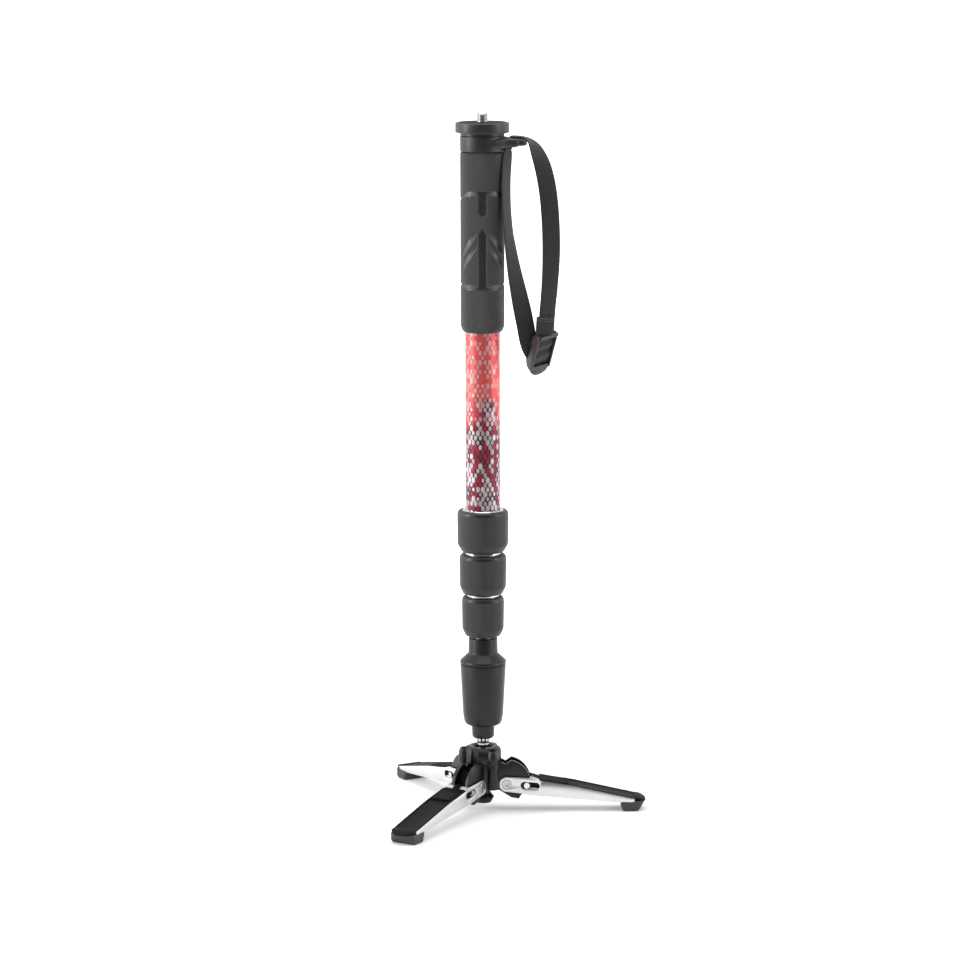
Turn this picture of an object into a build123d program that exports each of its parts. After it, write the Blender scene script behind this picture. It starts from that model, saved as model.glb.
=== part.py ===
from build123d import *
import os
from math import atan2, cos, degrees, radians, sin, sqrt, tan

# Camera monopod with a fluid pan cartridge, a tilting ball and three folding feet.
# Millimetres. The column stands on Z, the floor is at zero, and one leg points along +X.

os.makedirs("parts", exist_ok=True)

# Fits shared by all pieces
overrun = 1.0
turn_gap = 0.1
bearing_gap = 0.05
rest_gap = 0.3
edge_break = 0.6

# Places of the legs
pivot_height = 23.8
pivot_radius = 19.9
leg_turns = (0, 120, 240)

# Hub: a star-shaped body, a cap with a rounded shoulder and the screws in three round pillars
hub_radius = 15.6
hub_base_height = 20.3
hub_seam_height = 43.3
hub_cap_height = 14.5
hub_neck_radius = 6.4
hub_button_radius = 9.3
hub_button_base = 6.3
hub_button_foot = 2.6
hub_button_depth = 4.6
hub_button_rise = 3.6
pillar_radius = 4.6
pillar_circle = 16.2
cap_shoulder = ((3.0, 1.2), (2.4, 2.4))
cap_opening_radius = 8.0
cap_opening_flare = 1.6
cap_roof = 3.0
hub_screw_radius = 1.6
hub_screw_head_radius = 2.7
hub_screw_head_height = 2.2
hub_screw_bite = 9.8
hub_screw_recess = 4.0
pillar_turn = 60
tongue_recess_width = 6.4
tongue_recess_depth = 2.4
tongue_recess_drop = 4.0

# Ears of the hub that carry each leg
ear_radius = 20.3
ear_half_width = 8.3
ear_thickness = 3.2
ear_start_angle = -12.0
ear_end_angle = 79.0
ear_floor_radius = 15.2
ear_foot_inset = 6.3
ear_foot_drop = 5.6
ear_lip_start = 3.9
ear_lip_drop = 12.0
ear_lip_reach = 10.2
ear_lip_depth = 13.0
ear_lip_end = 13.2
ear_lip_rise = 8.5
ear_notch_inset = 1.0
ear_notch_height = 16.5
ear_shoulder_inset = 3.9
ear_root_depth = 8.0
latch_notch_depth = 1.8
latch_notch_gap = 0.3

# Legs: a folded channel on a pivot, its slope at rest and how far it folds up
leg_slope = 3.7
leg_fold = 81.0
leg_end_radius = 6.4
leg_half_width = 11.0
leg_sheet = 1.3
leg_crest_reach = 26.4
leg_crest = 6.7
leg_tail_crest = -5.9
leg_belly_start = 13.7
leg_belly_drop = 7.2
leg_belly_reach = 20.1
leg_belly = 8.0
leg_length = 109.0
leg_tail_drop = 10.0
web_start = 20.5
slot_start = 11.7
slot_end = 27.8
slot_width = 5.9
pivot_head_radius = 4.1
pivot_head_height = 1.5
pivot_pin_radius = 2.5
washer_radius = 5.0

# Latch slider of each leg: a thumb pad on top and a yoke inside the channel
latch_drop = 1.5
latch_pull = 7.5
stud_reach = 17.0
stud_radius = 2.5
stud_proud = 0.6
cheek_thickness = 1.0
cheek_start = 14.0
yoke_start = 22.3
yoke_end = 38.0
yoke_height = 4.0
tooth_half_width = 2.4
neck_start = 31.0
neck_half_width = 4.8
pad_start = 27.5
pad_end = 52.0
pad_half_width = 9.0
pad_thickness = 1.1
pad_lift = 0.3
pad_ridge_length = 2.2
pad_ridge_height = 0.9
tongue_start = 20.2
tongue_half_width = 2.6

# Cover moulding of each leg
cover_start = 28.5
cover_step = 60.0
cover_height = 0.8
cover_rail_width = 1.5
cover_trough = 0.4
cover_bend_inset = 1.0
cover_tip_overhang = 9.6
cover_tip_drop = 7.0
cover_tip_height = 1.0
cover_tip_bulge = 0.7

# Rubber shoe at the end of each leg, measured outward from the leg's end and up from the floor
shoe_half_width = 12.0
shoe_heel_inset = 10.8
shoe_sole_reach = 2.4
shoe_back_inset = 13.3
shoe_wall_height = 8.5
shoe_nose_reach = 9.0
shoe_nose_height = 9.1
shoe_corner_reach = 4.3
shoe_corner_inset = 0.6

# Ball, stem and the shaft that the cartridge turns on, with reaches above the ball's centre
ball_radius = 8.5
ball_rise = 2.0
liner_thickness = 1.9
liner_half_height = 5.0
liner_slope = 36.0
stem_waist_radius = 5.3
stem_waist_reach = 12.5
stem_flare_radius = 6.3
stem_flare_height = 4.5
stem_reach = 19.6
shaft_radius = 4.0
shaft_thread_radius = 3.0

# Fluid cartridge
boot_reach = 17.0
boot_foot_radius = 8.0
boot_radius = 9.35
boot_round = 2.6
boot_top_radius = 9.65
boot_height = 11.7
boot_lip = 3.4
housing_height = 52.1
housing_floor_radius = 13.4
housing_round_height = 1.6
housing_foot_radius = 16.95
housing_foot_height = 8.6
housing_radius = 19.27
housing_wall = 2.6
bearing_radius = 8.0
bearing_height = 5.0
bearing_floor = 1.8
seal_height = 1.6
chamber_floor = 10.0
rotor_radius = 12.6
rotor_height = 30.0
rotor_neck_radius = 9.4
rotor_flange = 5.0
rotor_gap = 2.0
cap_seam = 0.6
cap_rim_radius = 19.45
cap_rim_height = 2.5
cap_cone_height = 6.5
cap_neck_radius = 12.5
cap_neck_top_radius = 12.15
cap_neck_height = 12.9
spigot_height = 7.0
nut_radius = 6.2
nut_height = 4.2
nut_room = 5.5
socket_floor = 2.0

# Telescoping tubes, widest first, and the twist locks between them
tube_radii = (14.6, 12.4, 10.2, 8.0)
tube_wall = 1.4
nest_step = 2.0
collar_radii = (21.6, 19.8, 17.85)
collar_foot_radii = (17.7, 16.7, 14.7)
collar_heights = (36.7, 35.1, 35.1)
collar_taper = 0.35
collar_foot_height = 7.3
collar_crown_height = 3.9
collar_crown_inset = 1.25
collar_gap = 0.9
collar_lip_height = 3.2
collar_lip_gap = 0.5
collet_height = 10.4
collet_taper = 1.8
collet_slit = 1.6
sleeve_wall = 2.8
sleeve_proud = 0.5
bush_height = 14.0
bush_flange = 1.5

# Head: tube end, grip, strap ring, camera plate and screw
head_tube_length = 336.3
plug_depth = 20.0
plug_bore_depth = 14.5
ring_height = 12.8
ring_wall = 3.9
ring_edge = 0.8
plate_neck_radius = 18.35
plate_neck_height = 2.2
plate_radius = 22.42
plate_height = 9.2
plate_edge = 1.2
pad_inset = 1.0
pad_height = 0.8
pad_sink = 0.5
camera_screw_radius = 4.7625
camera_shank_radius = 4.3
camera_screw_proud = 6.5
camera_screw_depth = 14.0
camera_screw_tip = 0.9

grip_top_radius = 18.45
grip_bottom_radius = 18.25
grip_length = 149.5
grip_top_edge = 1.3
grip_taper_height = 6.5
grip_foot_radius = 15.2
grip_groove_width = 2.4
grip_groove_depth = 0.7
grip_upper_groove = 38.8
grip_upper_tilt = 20.0
grip_lower_groove = 109.8
grip_lower_tilt = 9.0
grip_relief_depth = 0.5
grip_slot_width = 7.0
grip_slot_top = 32.1
grip_slot_length = 78.1

# Lug of the strap ring
lug_root = 8.0
lug_root_half_width = 13.5
lug_end = 37.0
lug_half_width = 9.6
lug_shoulder = 25.0
lug_drop = 3.2
lug_end_height = 6.6
lug_fall = 2.4
lug_slot_start = 20.2
lug_slot_length = 3.4
lug_slot_half_width = 8.0
lug_nose = 2.2

# Wrist strap: flat webbing, from the lug down to the buckle and back up to the slot
strap_width = 15.0
strap_thickness = 1.3
strap_bend_share = 0.45
strap_route = (
    (52.6, -3.4, 406.2),
    (52.7, -3.4, 408.0),
    (53.6, -3.2, 424.3),
    (55.6, -3.0, 444.3),
    (57.1, -2.6, 470.3),
    (56.7, -2.4, 498.3),
    (54.4, -2.0, 525.3),
    (50.4, -1.6, 544.8),
    (45.2, -1.0, 558.3),
    (40.6, -0.4, 565.9),
    (35.8, 0.0, 569.3),
    (30.4, 0.0, 570.2),
    (25.8, 0.0, 570.4),
    (23.3, 0.0, 570.1),
    (22.0, 0.0, 567.9),
    (21.9, -0.1, 563.8),
    (21.2, -1.0, 557.8),
    (20.0, -4.4, 547.3),
    (19.3, -7.4, 530.3),
    (20.0, -8.6, 506.3),
    (22.4, -8.2, 483.3),
    (26.2, -6.8, 459.3),
    (31.0, -4.6, 436.3),
    (35.4, -1.2, 415.3),
    (38.2, 3.4, 397.9),
    (41.6, 9.2, 390.2),
    (45.3, 13.8, 383.9),
)
strap_turns = (
    38, 38, 38, 24, 6, 2, 8, 22, 44, 68, 84, 90, 90, 90,
    90, 90, 80, 67, 62, 61, 60, 46, 28, 8, 12, 28, 36,
)

# Ladder buckle on the strap: two curved side plates, four bars and a lip to pull
buckle_centre = (50.8, 5.0, 391.5)
buckle_yaw = 42.0
buckle_pitch = 30.0
buckle_lean = 12.7
buckle_half_width = 10.2
buckle_height = 34.0
buckle_side = 2.2
buckle_side_depth = 6.5
buckle_bar = 3.0
buckle_bar_depth = 2.6
buckle_bar_shares = (1, 1 / 3, -1 / 3, -1)
buckle_lip_radius = 6.2

# Heights that follow from the values above
cap_top = hub_seam_height + hub_cap_height
ball_height = hub_seam_height + ball_rise
stem_waist_top = ball_height + stem_waist_reach
stem_top = ball_height + stem_reach
boot_base = ball_height + boot_reach
screw_seat = cap_top - hub_screw_recess - hub_screw_head_height
screw_base = hub_seam_height - hub_screw_bite
housing_base = boot_base + boot_height
housing_top = housing_base + housing_height
cap_base = housing_top + cap_seam
cone_base = cap_base + cap_rim_height
neck_base = cone_base + cap_cone_height
neck_top = neck_base + cap_neck_height
spigot_base = cap_base - spigot_height
nut_base = spigot_base + bearing_height + turn_gap
socket_base = spigot_base + bearing_height + nut_room + socket_floor
leg_end = pivot_radius + leg_length
leg_fall = (leg_crest - leg_tail_crest) / (leg_length - leg_crest_reach)
cover_bend = leg_length - cover_bend_inset
cover_tip_reach = leg_length + cover_tip_overhang
collar_bases = [0, 0, neck_top + collar_gap]
for stage in (1, 0):
    collar_bases[stage] = collar_bases[stage + 1] + collar_heights[stage + 1] + collar_gap
tube_bores = tuple(radius - tube_wall for radius in tube_radii)
tube_bases = tuple(base + collar_lip_height + collet_height for base in collar_bases) + (socket_base,)
head_top = tube_bases[0] + head_tube_length
nest_top = head_top - plug_depth - nest_step
ring_base = head_top - rest_gap - ring_height
grip_top = ring_base - rest_gap
grip_base = grip_top - grip_length
plate_base = head_top + plate_neck_height
plate_top = plate_base + plate_height
pad_top = plate_top - pad_sink + pad_height


def turned(corners):
    """A solid of revolution about the column, from (radius, height) corners."""
    return revolve(make_face(Polyline(*[(r, 0, z) for r, z in corners], close=True)), Axis.Z)


def ring(inner, outer, base, top):
    """A plain ring about the column between two heights."""
    return turned([(inner, base), (outer, base), (outer, top), (inner, top)])


def side_plate(corners, half_width):
    """A solid across the leg, from a side outline of (outward, upward) corners."""
    outline = make_face(Polyline(*[(x, 0, z) for x, z in corners], close=True))
    return extrude(outline, amount=half_width, dir=(0, 1, 0), both=True)


def across(radius, x, z, low, high):
    """A round bar that lies across the leg."""
    return Pos(x, (low + high) / 2, z) * Rot(90, 0, 0) * Cylinder(radius, high - low)


def upright_bar(radius, base, top):
    """A round bar on the column's axis between two heights."""
    return Pos(0, 0, (base + top) / 2) * Cylinder(radius, top - base)


def block(x_low, x_high, half_width, z_low, z_high):
    """A block across the leg, centred on its middle plane."""
    centre = Pos((x_low + x_high) / 2, 0, (z_low + z_high) / 2)
    return centre * Box(x_high - x_low, 2 * half_width, z_high - z_low)


def pair(low_side):
    """A piece and its mirror image on the other side of the leg."""
    return low_side + mirror(low_side, Plane.XZ)


def on_leg(turn, slope=leg_slope):
    """The place of a leg's own frame: its pivot, with X running out along the leg."""
    return Rot(0, 0, turn) * Pos(pivot_radius, 0, pivot_height) * Rot(0, slope, 0)


# Hub

def pillar_places():
    """The three pillars stand between the legs."""
    return [Rot(0, 0, turn + pillar_turn) * Pos(pillar_circle, 0, 0) for turn in leg_turns]


def hub_prism(base, top):
    """The hub's outline in plan, a round core with three pillars, between two heights."""
    solid = upright_bar(hub_radius, base, top)
    for place in pillar_places():
        solid += place * upright_bar(pillar_radius, base, top)
    return solid


def ear_block():
    """Two ears side by side: the outline of one, with the groove between them cut down."""
    start, end = radians(ear_start_angle), radians(ear_end_angle)
    middle = (start + end) / 2
    arc_points = [(ear_radius * cos(a), 0, ear_radius * sin(a)) for a in (start, middle, end)]
    edge = ThreePointArc(*arc_points)
    top_corners = Polyline(
        arc_points[2],
        (-ear_notch_inset, 0, ear_notch_height),
        (-ear_shoulder_inset, 0, hub_seam_height - pivot_height),
        (-ear_root_depth, 0, hub_seam_height - pivot_height),
        (-ear_root_depth, 0, -ear_foot_drop),
        (-ear_foot_inset, 0, -ear_foot_drop),
        (ear_lip_start, 0, -ear_lip_drop),
        (ear_lip_reach, 0, -ear_lip_depth),
        (ear_lip_end, 0, -ear_lip_rise),
        arc_points[0],
    )
    outline = make_face([edge, top_corners])
    ears = extrude(outline, amount=ear_half_width, dir=(0, 1, 0), both=True)
    groove_half = ear_half_width - ear_thickness
    reach = ear_radius + overrun
    groove = block(-ear_foot_inset, reach, groove_half, -reach, reach)
    groove -= across(ear_floor_radius, 0, 0, -reach, reach)
    return ears - groove


def ear_cuts():
    """What is cut from the ears: the pivot bore and the notches that the latch drops into."""
    wide = ear_half_width + overrun
    cuts = across(pivot_pin_radius + bearing_gap, 0, 0, -wide, wide)
    notch_half = yoke_height / 2 + latch_notch_gap
    for angle in (leg_slope, leg_slope - leg_fold):
        bottom = ear_floor_radius - latch_notch_depth
        width = tooth_half_width + latch_notch_gap
        notch = block(bottom, ear_radius + overrun, width, -notch_half, notch_half)
        cuts += Rot(0, angle, 0) * notch
    return cuts


def make_hub_body():
    body = hub_prism(hub_base_height, hub_seam_height)
    button_rim = hub_button_base + hub_button_depth
    body += turned([
        (0, hub_button_base),
        (hub_button_radius - hub_button_foot, hub_button_base),
        (hub_button_radius, button_rim),
        (hub_neck_radius, button_rim + hub_button_rise),
        (hub_neck_radius, hub_base_height + overrun),
        (0, hub_base_height + overrun),
    ])
    for turn in leg_turns:
        body += on_leg(turn, 0) * ear_block()
    for turn in leg_turns:
        body -= on_leg(turn, 0) * ear_cuts()
        body -= tongue_recess(turn)
    body -= socket_room(hub_seam_height + overrun)
    for place in pillar_places():
        body -= place * upright_bar(hub_screw_radius, screw_base, hub_seam_height + overrun)
    return body


def socket_room(top):
    """The round room for the ball's liner, from below the ball up to a height."""
    room = ball_radius + liner_thickness + turn_gap
    return ring(0, room, ball_height - ball_radius - turn_gap - edge_break, top)


def tongue_recess(turn):
    """A shallow upright recess in the hub, where the slider's tongue lies when the leg is up."""
    low = hub_seam_height - tongue_recess_drop
    bottom = hub_radius - tongue_recess_depth
    return Rot(0, 0, turn) * block(bottom, hub_radius + overrun, tongue_recess_width / 2, low, cap_top)


def cap_shell():
    """The hub's outline carried up and drawn in by two slopes, as a rounded shoulder."""
    solid = hub_prism(hub_seam_height, cap_top - sum(rise for rise, inset in cap_shoulder))
    for rise, inset in cap_shoulder:
        crown = solid.faces().sort_by(Axis.Z)[-1]
        solid += extrude(crown, amount=rise, taper=degrees(atan2(inset, rise)))
    return solid


def make_hub_cap():
    solid = cap_shell()
    solid -= socket_room(cap_top - cap_roof)
    flare = cap_opening_radius + cap_opening_flare
    solid -= turned([
        (0, hub_seam_height - overrun),
        (cap_opening_radius, hub_seam_height - overrun),
        (cap_opening_radius, cap_top - cap_opening_flare),
        (flare + overrun, cap_top + overrun),
        (0, cap_top + overrun),
    ])
    for turn in leg_turns:
        solid -= tongue_recess(turn)
    for place in pillar_places():
        solid -= place * upright_bar(hub_screw_head_radius + turn_gap, screw_seat, cap_top + overrun)
        solid -= place * upright_bar(hub_screw_radius, hub_seam_height - overrun, screw_seat + overrun)
    return solid


def make_hub_screws():
    screw = upright_bar(hub_screw_radius, screw_base, screw_seat)
    screw += upright_bar(hub_screw_head_radius, screw_seat, screw_seat + hub_screw_head_height)
    return Compound(children=[place * screw for place in pillar_places()])


# Legs, each piece in its leg's own frame

def crest_height(reach):
    """The height of the channel's top edge at a distance out from the pivot."""
    return leg_crest - (reach - leg_crest_reach) * leg_fall


def make_channel():
    tail = leg_length
    outline = [
        (0, leg_end_radius),
        (leg_crest_reach, leg_crest),
        (tail, crest_height(tail)),
        (tail, -leg_tail_drop),
        (leg_belly_reach, -leg_belly),
        (leg_belly_start, -leg_belly_drop),
        (0, -leg_end_radius),
    ]
    channel = side_plate(outline, leg_half_width)
    channel += across(leg_end_radius, 0, 0, -leg_half_width, leg_half_width)
    inner = leg_half_width - leg_sheet
    far = tail + overrun
    deep = -leg_tail_drop - overrun
    back = -leg_end_radius - overrun
    channel -= side_plate(
        [
            (back, leg_crest + overrun),
            (web_start, leg_crest + overrun),
            (web_start, leg_crest - leg_sheet - edge_break),
            (leg_crest_reach, leg_crest - leg_sheet),
            (far, crest_height(far) - leg_sheet),
            (far, deep),
            (back, deep),
        ],
        inner,
    )
    wide = leg_half_width + overrun
    slot_round = slot_width / 2
    slot = across(slot_round, slot_start + slot_round, 0, -wide, wide)
    slot += across(slot_round, slot_end - slot_round, 0, -wide, wide)
    slot += block(slot_start + slot_round, slot_end - slot_round, wide, -slot_round, slot_round)
    channel -= slot
    channel -= across(pivot_head_radius + bearing_gap, 0, 0, -wide, wide)
    channel -= neck_window(leg_crest - leg_sheet - overrun - yoke_height)
    return channel


def neck_window(low):
    """The window in the top of the channel that the slider's neck travels in."""
    start = neck_start - latch_drop - rest_gap
    end = yoke_end + latch_pull + rest_gap
    return block(start, end, neck_half_width + rest_gap, low, leg_crest + overrun + cover_height)


def cover_top(reach):
    """The height of the cover's upper edge at a distance out from the pivot."""
    return crest_height(reach) + cover_height


def make_cover():
    bend_top = cover_top(cover_bend)
    bend_middle = ((cover_bend + cover_tip_reach) / 2, 0, (bend_top - cover_tip_drop) / 2 + cover_tip_bulge)
    profile = make_face([
        Polyline(
            (cover_bend, 0, bend_top),
            (cover_start, 0, cover_top(cover_start)),
            (cover_start, 0, crest_height(cover_start)),
            (leg_length, 0, crest_height(leg_length)),
            (cover_tip_reach, 0, -cover_tip_drop - cover_tip_height),
            (cover_tip_reach, 0, -cover_tip_drop),
        ),
        ThreePointArc((cover_tip_reach, 0, -cover_tip_drop), bend_middle, (cover_bend, 0, bend_top)),
    ])
    cover = extrude(profile, amount=leg_half_width, dir=(0, 1, 0), both=True)
    trough_half = leg_half_width - cover_rail_width
    bed = [
        (cover_start - overrun, 0),
        (cover_step, 0),
        (cover_step, cover_top(cover_start)),
        (cover_start - overrun, cover_top(cover_start) + overrun),
    ]
    cover -= side_plate(bed, trough_half)
    trough = [
        (cover_step - overrun, cover_top(cover_step) - cover_trough),
        (cover_bend, cover_top(cover_bend) - cover_trough),
        (cover_bend, cover_top(cover_bend) + overrun),
        (cover_step - overrun, cover_top(cover_step) + overrun),
    ]
    cover -= side_plate(trough, trough_half)
    return cover & shoe_plan(leg_half_width)


def shoe_plan(half_width):
    """The rounded end of a leg in plan, in the leg's own frame, tall enough for all cuts."""
    nose = leg_length + shoe_nose_reach + overrun
    corner = leg_length + shoe_corner_reach
    edge = half_width - shoe_corner_inset
    outline = make_face([
        Polyline(
            (corner, -edge, 0),
            (corner - half_width, -half_width, 0),
            (0, -half_width, 0),
            (0, half_width, 0),
            (corner - half_width, half_width, 0),
            (corner, edge, 0),
        ),
        ThreePointArc((corner, edge, 0), (nose, 0, 0), (corner, -edge, 0)),
    ])
    return extrude(outline, amount=leg_length, both=True)


def make_shoe():
    """The rubber shoe, drawn upright from the floor and then turned into the leg's frame."""
    outline = [
        (leg_end - shoe_heel_inset, 0),
        (leg_end + shoe_sole_reach, 0),
        (leg_end + shoe_nose_reach, shoe_nose_height),
        (leg_end - shoe_back_inset, shoe_wall_height),
    ]
    upright = side_plate(outline, shoe_half_width)
    upright = Rot(0, -leg_slope, 0) * Pos(-pivot_radius, 0, -pivot_height) * upright
    shoe = upright & shoe_plan(shoe_half_width)
    tail = leg_length
    room = [
        (0, crest_height(0)),
        (tail, crest_height(tail) + cover_height),
        (tail, crest_height(tail)),
        (cover_tip_reach, -cover_tip_drop - cover_tip_height),
        (cover_tip_reach + overrun, -cover_tip_drop - cover_tip_height),
        (cover_tip_reach + overrun, crest_height(0)),
    ]
    shoe -= side_plate(room, shoe_half_width + overrun)
    bed = [
        (0, crest_height(0)),
        (tail, crest_height(0)),
        (tail, -leg_tail_drop),
        (leg_belly_reach, -leg_belly),
    ]
    return shoe - side_plate(bed, leg_half_width)


def make_slider():
    half = yoke_height / 2
    inner = leg_half_width - leg_sheet - rest_gap + turn_gap
    yoke = block(yoke_start, yoke_end, inner, -half, half)
    tooth_tip = ear_floor_radius + rest_gap
    tooth = block(tooth_tip, yoke_start + overrun, tooth_half_width, -half, half)
    cheek = Pos((cheek_start + yoke_end) / 2, -inner + cheek_thickness / 2, 0)
    cheek *= Box(yoke_end - cheek_start, cheek_thickness, yoke_height)
    low = pad_lift
    high = pad_lift + pad_thickness
    join = pad_lift + pad_thickness / 2
    neck = side_plate(
        [
            (neck_start, 0),
            (yoke_end, 0),
            (yoke_end, crest_height(yoke_end) + join),
            (neck_start, crest_height(neck_start) + join),
        ],
        neck_half_width,
    )
    pad = side_plate(
        [
            (pad_start, crest_height(pad_start) + low),
            (pad_end, crest_height(pad_end) + low),
            (pad_end, crest_height(pad_end) + high + pad_ridge_height),
            (pad_end - pad_ridge_length, crest_height(pad_end) + high + pad_ridge_height),
            (pad_end - 2 * pad_ridge_length, crest_height(pad_end - 2 * pad_ridge_length) + high),
            (pad_start, crest_height(pad_start) + high),
        ],
        pad_half_width,
    )
    tongue = side_plate(
        [
            (tongue_start, leg_crest + low),
            (pad_start + overrun, leg_crest + low),
            (pad_start + overrun, crest_height(pad_start) + high),
            (tongue_start, leg_crest + low + edge_break),
        ],
        tongue_half_width,
    )
    return yoke + tooth + pair(cheek) + neck + pad + tongue


def make_studs():
    inner = leg_half_width - leg_sheet - rest_gap + turn_gap
    stud = across(stud_radius, stud_reach, 0, inner, leg_half_width + stud_proud)
    return Compound(children=[stud, mirror(stud, Plane.XZ)])


def make_pivot_screw():
    seat = leg_half_width - leg_sheet
    screw = across(pivot_pin_radius, 0, 0, -seat - pivot_head_height, seat + pivot_head_height)
    head = across(pivot_head_radius, 0, 0, seat, seat + pivot_head_height)
    return screw + pair(head)


def make_washers():
    low = ear_half_width + bearing_gap
    high = leg_half_width - leg_sheet
    washer = across(washer_radius, 0, 0, low, high)
    washer -= across(pivot_pin_radius, 0, 0, low - overrun, high + overrun)
    return Compound(children=[washer, mirror(washer, Plane.XZ)])


# Ball, stem and cartridge

def make_liner():
    """A ring round the ball: its bore's slopes touch the ball, its outside stays in a sphere."""
    inner = ball_radius + bearing_gap
    outer = ball_radius + liner_thickness
    slope = radians(liner_slope)
    mouth = (inner - liner_half_height * sin(slope)) / cos(slope)
    waist = inner * tan(slope / 2)
    rim = sqrt(outer ** 2 - liner_half_height ** 2)
    return turned([
        (mouth, ball_height - liner_half_height),
        (rim, ball_height - liner_half_height),
        (outer, ball_height),
        (rim, ball_height + liner_half_height),
        (mouth, ball_height + liner_half_height),
        (inner, ball_height + waist),
        (inner, ball_height - waist),
    ])


def make_ball_stem():
    neck_height = sqrt(ball_radius ** 2 - stem_waist_radius ** 2)
    foot = ball_radius - edge_break
    foot_radius = sqrt(ball_radius ** 2 - foot ** 2)
    ball_side = ThreePointArc(
        (foot_radius, 0, ball_height - foot),
        (ball_radius, 0, ball_height),
        (stem_waist_radius, 0, ball_height + neck_height),
    )
    flare_top = stem_waist_top + stem_flare_height
    thread_base = nut_base - turn_gap
    shaft_top = nut_base + nut_height
    outline = Polyline(
        (stem_waist_radius, 0, ball_height + neck_height),
        (stem_waist_radius, 0, stem_waist_top),
        (stem_flare_radius, 0, flare_top),
        (stem_flare_radius, 0, stem_top),
        (shaft_radius, 0, stem_top),
        (shaft_radius, 0, thread_base),
        (shaft_thread_radius, 0, thread_base),
        (shaft_thread_radius, 0, shaft_top),
        (0, 0, shaft_top),
        (0, 0, ball_height - foot),
        (foot_radius, 0, ball_height - foot),
    )
    return revolve(make_face([ball_side, outline]), Axis.Z)


def make_boot():
    bore = stem_flare_radius + turn_gap
    shaft_bore = shaft_radius + turn_gap
    top = boot_base + boot_height
    return turned([
        (bore, boot_base),
        (boot_foot_radius, boot_base),
        (boot_radius - edge_break / 2, boot_base + boot_round / 2),
        (boot_radius, boot_base + boot_round),
        (boot_top_radius, top),
        (shaft_bore, top),
        (shaft_bore, boot_base + boot_lip),
        (bore, boot_base + boot_lip),
    ])


def make_housing():
    shaft_bore = shaft_radius + turn_gap
    bearing_base = housing_base + bearing_floor
    chamber_base = housing_base + chamber_floor
    spigot = housing_radius - housing_wall
    return turned([
        (shaft_bore, housing_base),
        (housing_floor_radius, housing_base),
        (housing_foot_radius - housing_round_height, housing_base + housing_round_height),
        (housing_foot_radius, housing_base + housing_foot_height),
        (housing_radius, housing_top),
        (spigot, housing_top),
        (spigot, spigot_base),
        (housing_foot_radius - housing_wall, chamber_base),
        (bearing_radius, chamber_base),
        (bearing_radius, bearing_base),
        (shaft_bore, bearing_base),
    ])


def make_cap():
    spigot = housing_radius - housing_wall
    nut_top = spigot_base + bearing_height + nut_room
    socket = tube_radii[-1]
    return turned([
        (bearing_radius, spigot_base),
        (spigot, spigot_base),
        (spigot, cap_base),
        (cap_rim_radius, cap_base),
        (cap_rim_radius, cone_base),
        (cap_neck_radius, neck_base),
        (cap_neck_top_radius, neck_top),
        (socket, neck_top),
        (socket, socket_base),
        (0, socket_base),
        (0, nut_top),
        (nut_radius + rest_gap, nut_top),
        (nut_radius + rest_gap, spigot_base + bearing_height),
        (bearing_radius, spigot_base + bearing_height),
    ])


def make_rotor():
    base = housing_base + chamber_floor + rotor_gap
    top = base + rotor_height
    return turned([
        (shaft_radius, base),
        (rotor_radius, base),
        (rotor_radius, base + rotor_flange),
        (rotor_neck_radius, base + rotor_flange),
        (rotor_neck_radius, top - rotor_flange),
        (rotor_radius, top - rotor_flange),
        (rotor_radius, top),
        (shaft_radius, top),
    ])


def make_bearing(base):
    return ring(shaft_radius + bearing_gap, bearing_radius, base, base + bearing_height)


# Tubes and twist locks, counted from the widest

def tube_top(stage):
    """Each narrower tube ends a step lower than the one round it."""
    return head_top if stage == 0 else nest_top - (stage - 1) * nest_step


def make_tube(stage):
    top = tube_top(stage) - (bush_flange if stage else 0)
    return ring(tube_bores[stage], tube_radii[stage], tube_bases[stage], top)


def make_bush(stage):
    """The guide bush on a tube's upper end, which slides in the tube round it."""
    top = tube_top(stage)
    outer = tube_bores[stage - 1] - turn_gap
    return turned([
        (tube_radii[stage], top - bush_height),
        (outer, top - bush_height),
        (outer, top),
        (tube_bores[stage], top),
        (tube_bores[stage], top - bush_flange),
        (tube_radii[stage], top - bush_flange),
    ])


def make_sleeve(stage):
    """The threaded ring on a tube's lower end, whose polished rim shows above the collar."""
    outer = tube_radii[stage] + sleeve_wall
    top = collar_bases[stage] + collar_heights[stage] + sleeve_proud
    return turned([
        (tube_radii[stage], tube_bases[stage]),
        (outer, tube_bases[stage]),
        (outer, top - edge_break),
        (outer - edge_break, top),
        (tube_radii[stage], top),
    ])


def collet_radii(stage):
    top = tube_radii[stage] + sleeve_wall - turn_gap - rest_gap
    return top - collet_taper, top


def make_collet(stage):
    """The split cone that the collar squeezes on the next tube."""
    base = tube_bases[stage] - collet_height
    bore = tube_radii[stage + 1] + turn_gap
    foot, head = collet_radii(stage)
    cone = turned([(bore, base), (foot, base), (head, tube_bases[stage]), (bore, tube_bases[stage])])
    middle = base + collet_height / 2
    slit = Box(head + overrun, collet_slit, collet_height + overrun)
    return cone - Pos(0, (head + overrun) / 2, middle) * Rot(0, 0, 90) * slit


def make_collar(stage):
    base = collar_bases[stage]
    top = base + collar_heights[stage]
    crown = collar_radii[stage]
    lip = tube_radii[stage + 1] + collar_lip_gap
    foot, head = collet_radii(stage)
    thread = tube_radii[stage] + sleeve_wall + turn_gap
    cone_low = base + collar_lip_height - rest_gap
    return turned([
        (lip, base),
        (collar_foot_radii[stage], base),
        (crown - collar_taper, base + collar_foot_height),
        (crown, top - collar_crown_height),
        (crown - collar_crown_inset, top),
        (thread, top),
        (thread, tube_bases[stage] - rest_gap),
        (foot + rest_gap, cone_low),
        (lip, cone_low),
    ])


# Head

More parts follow.
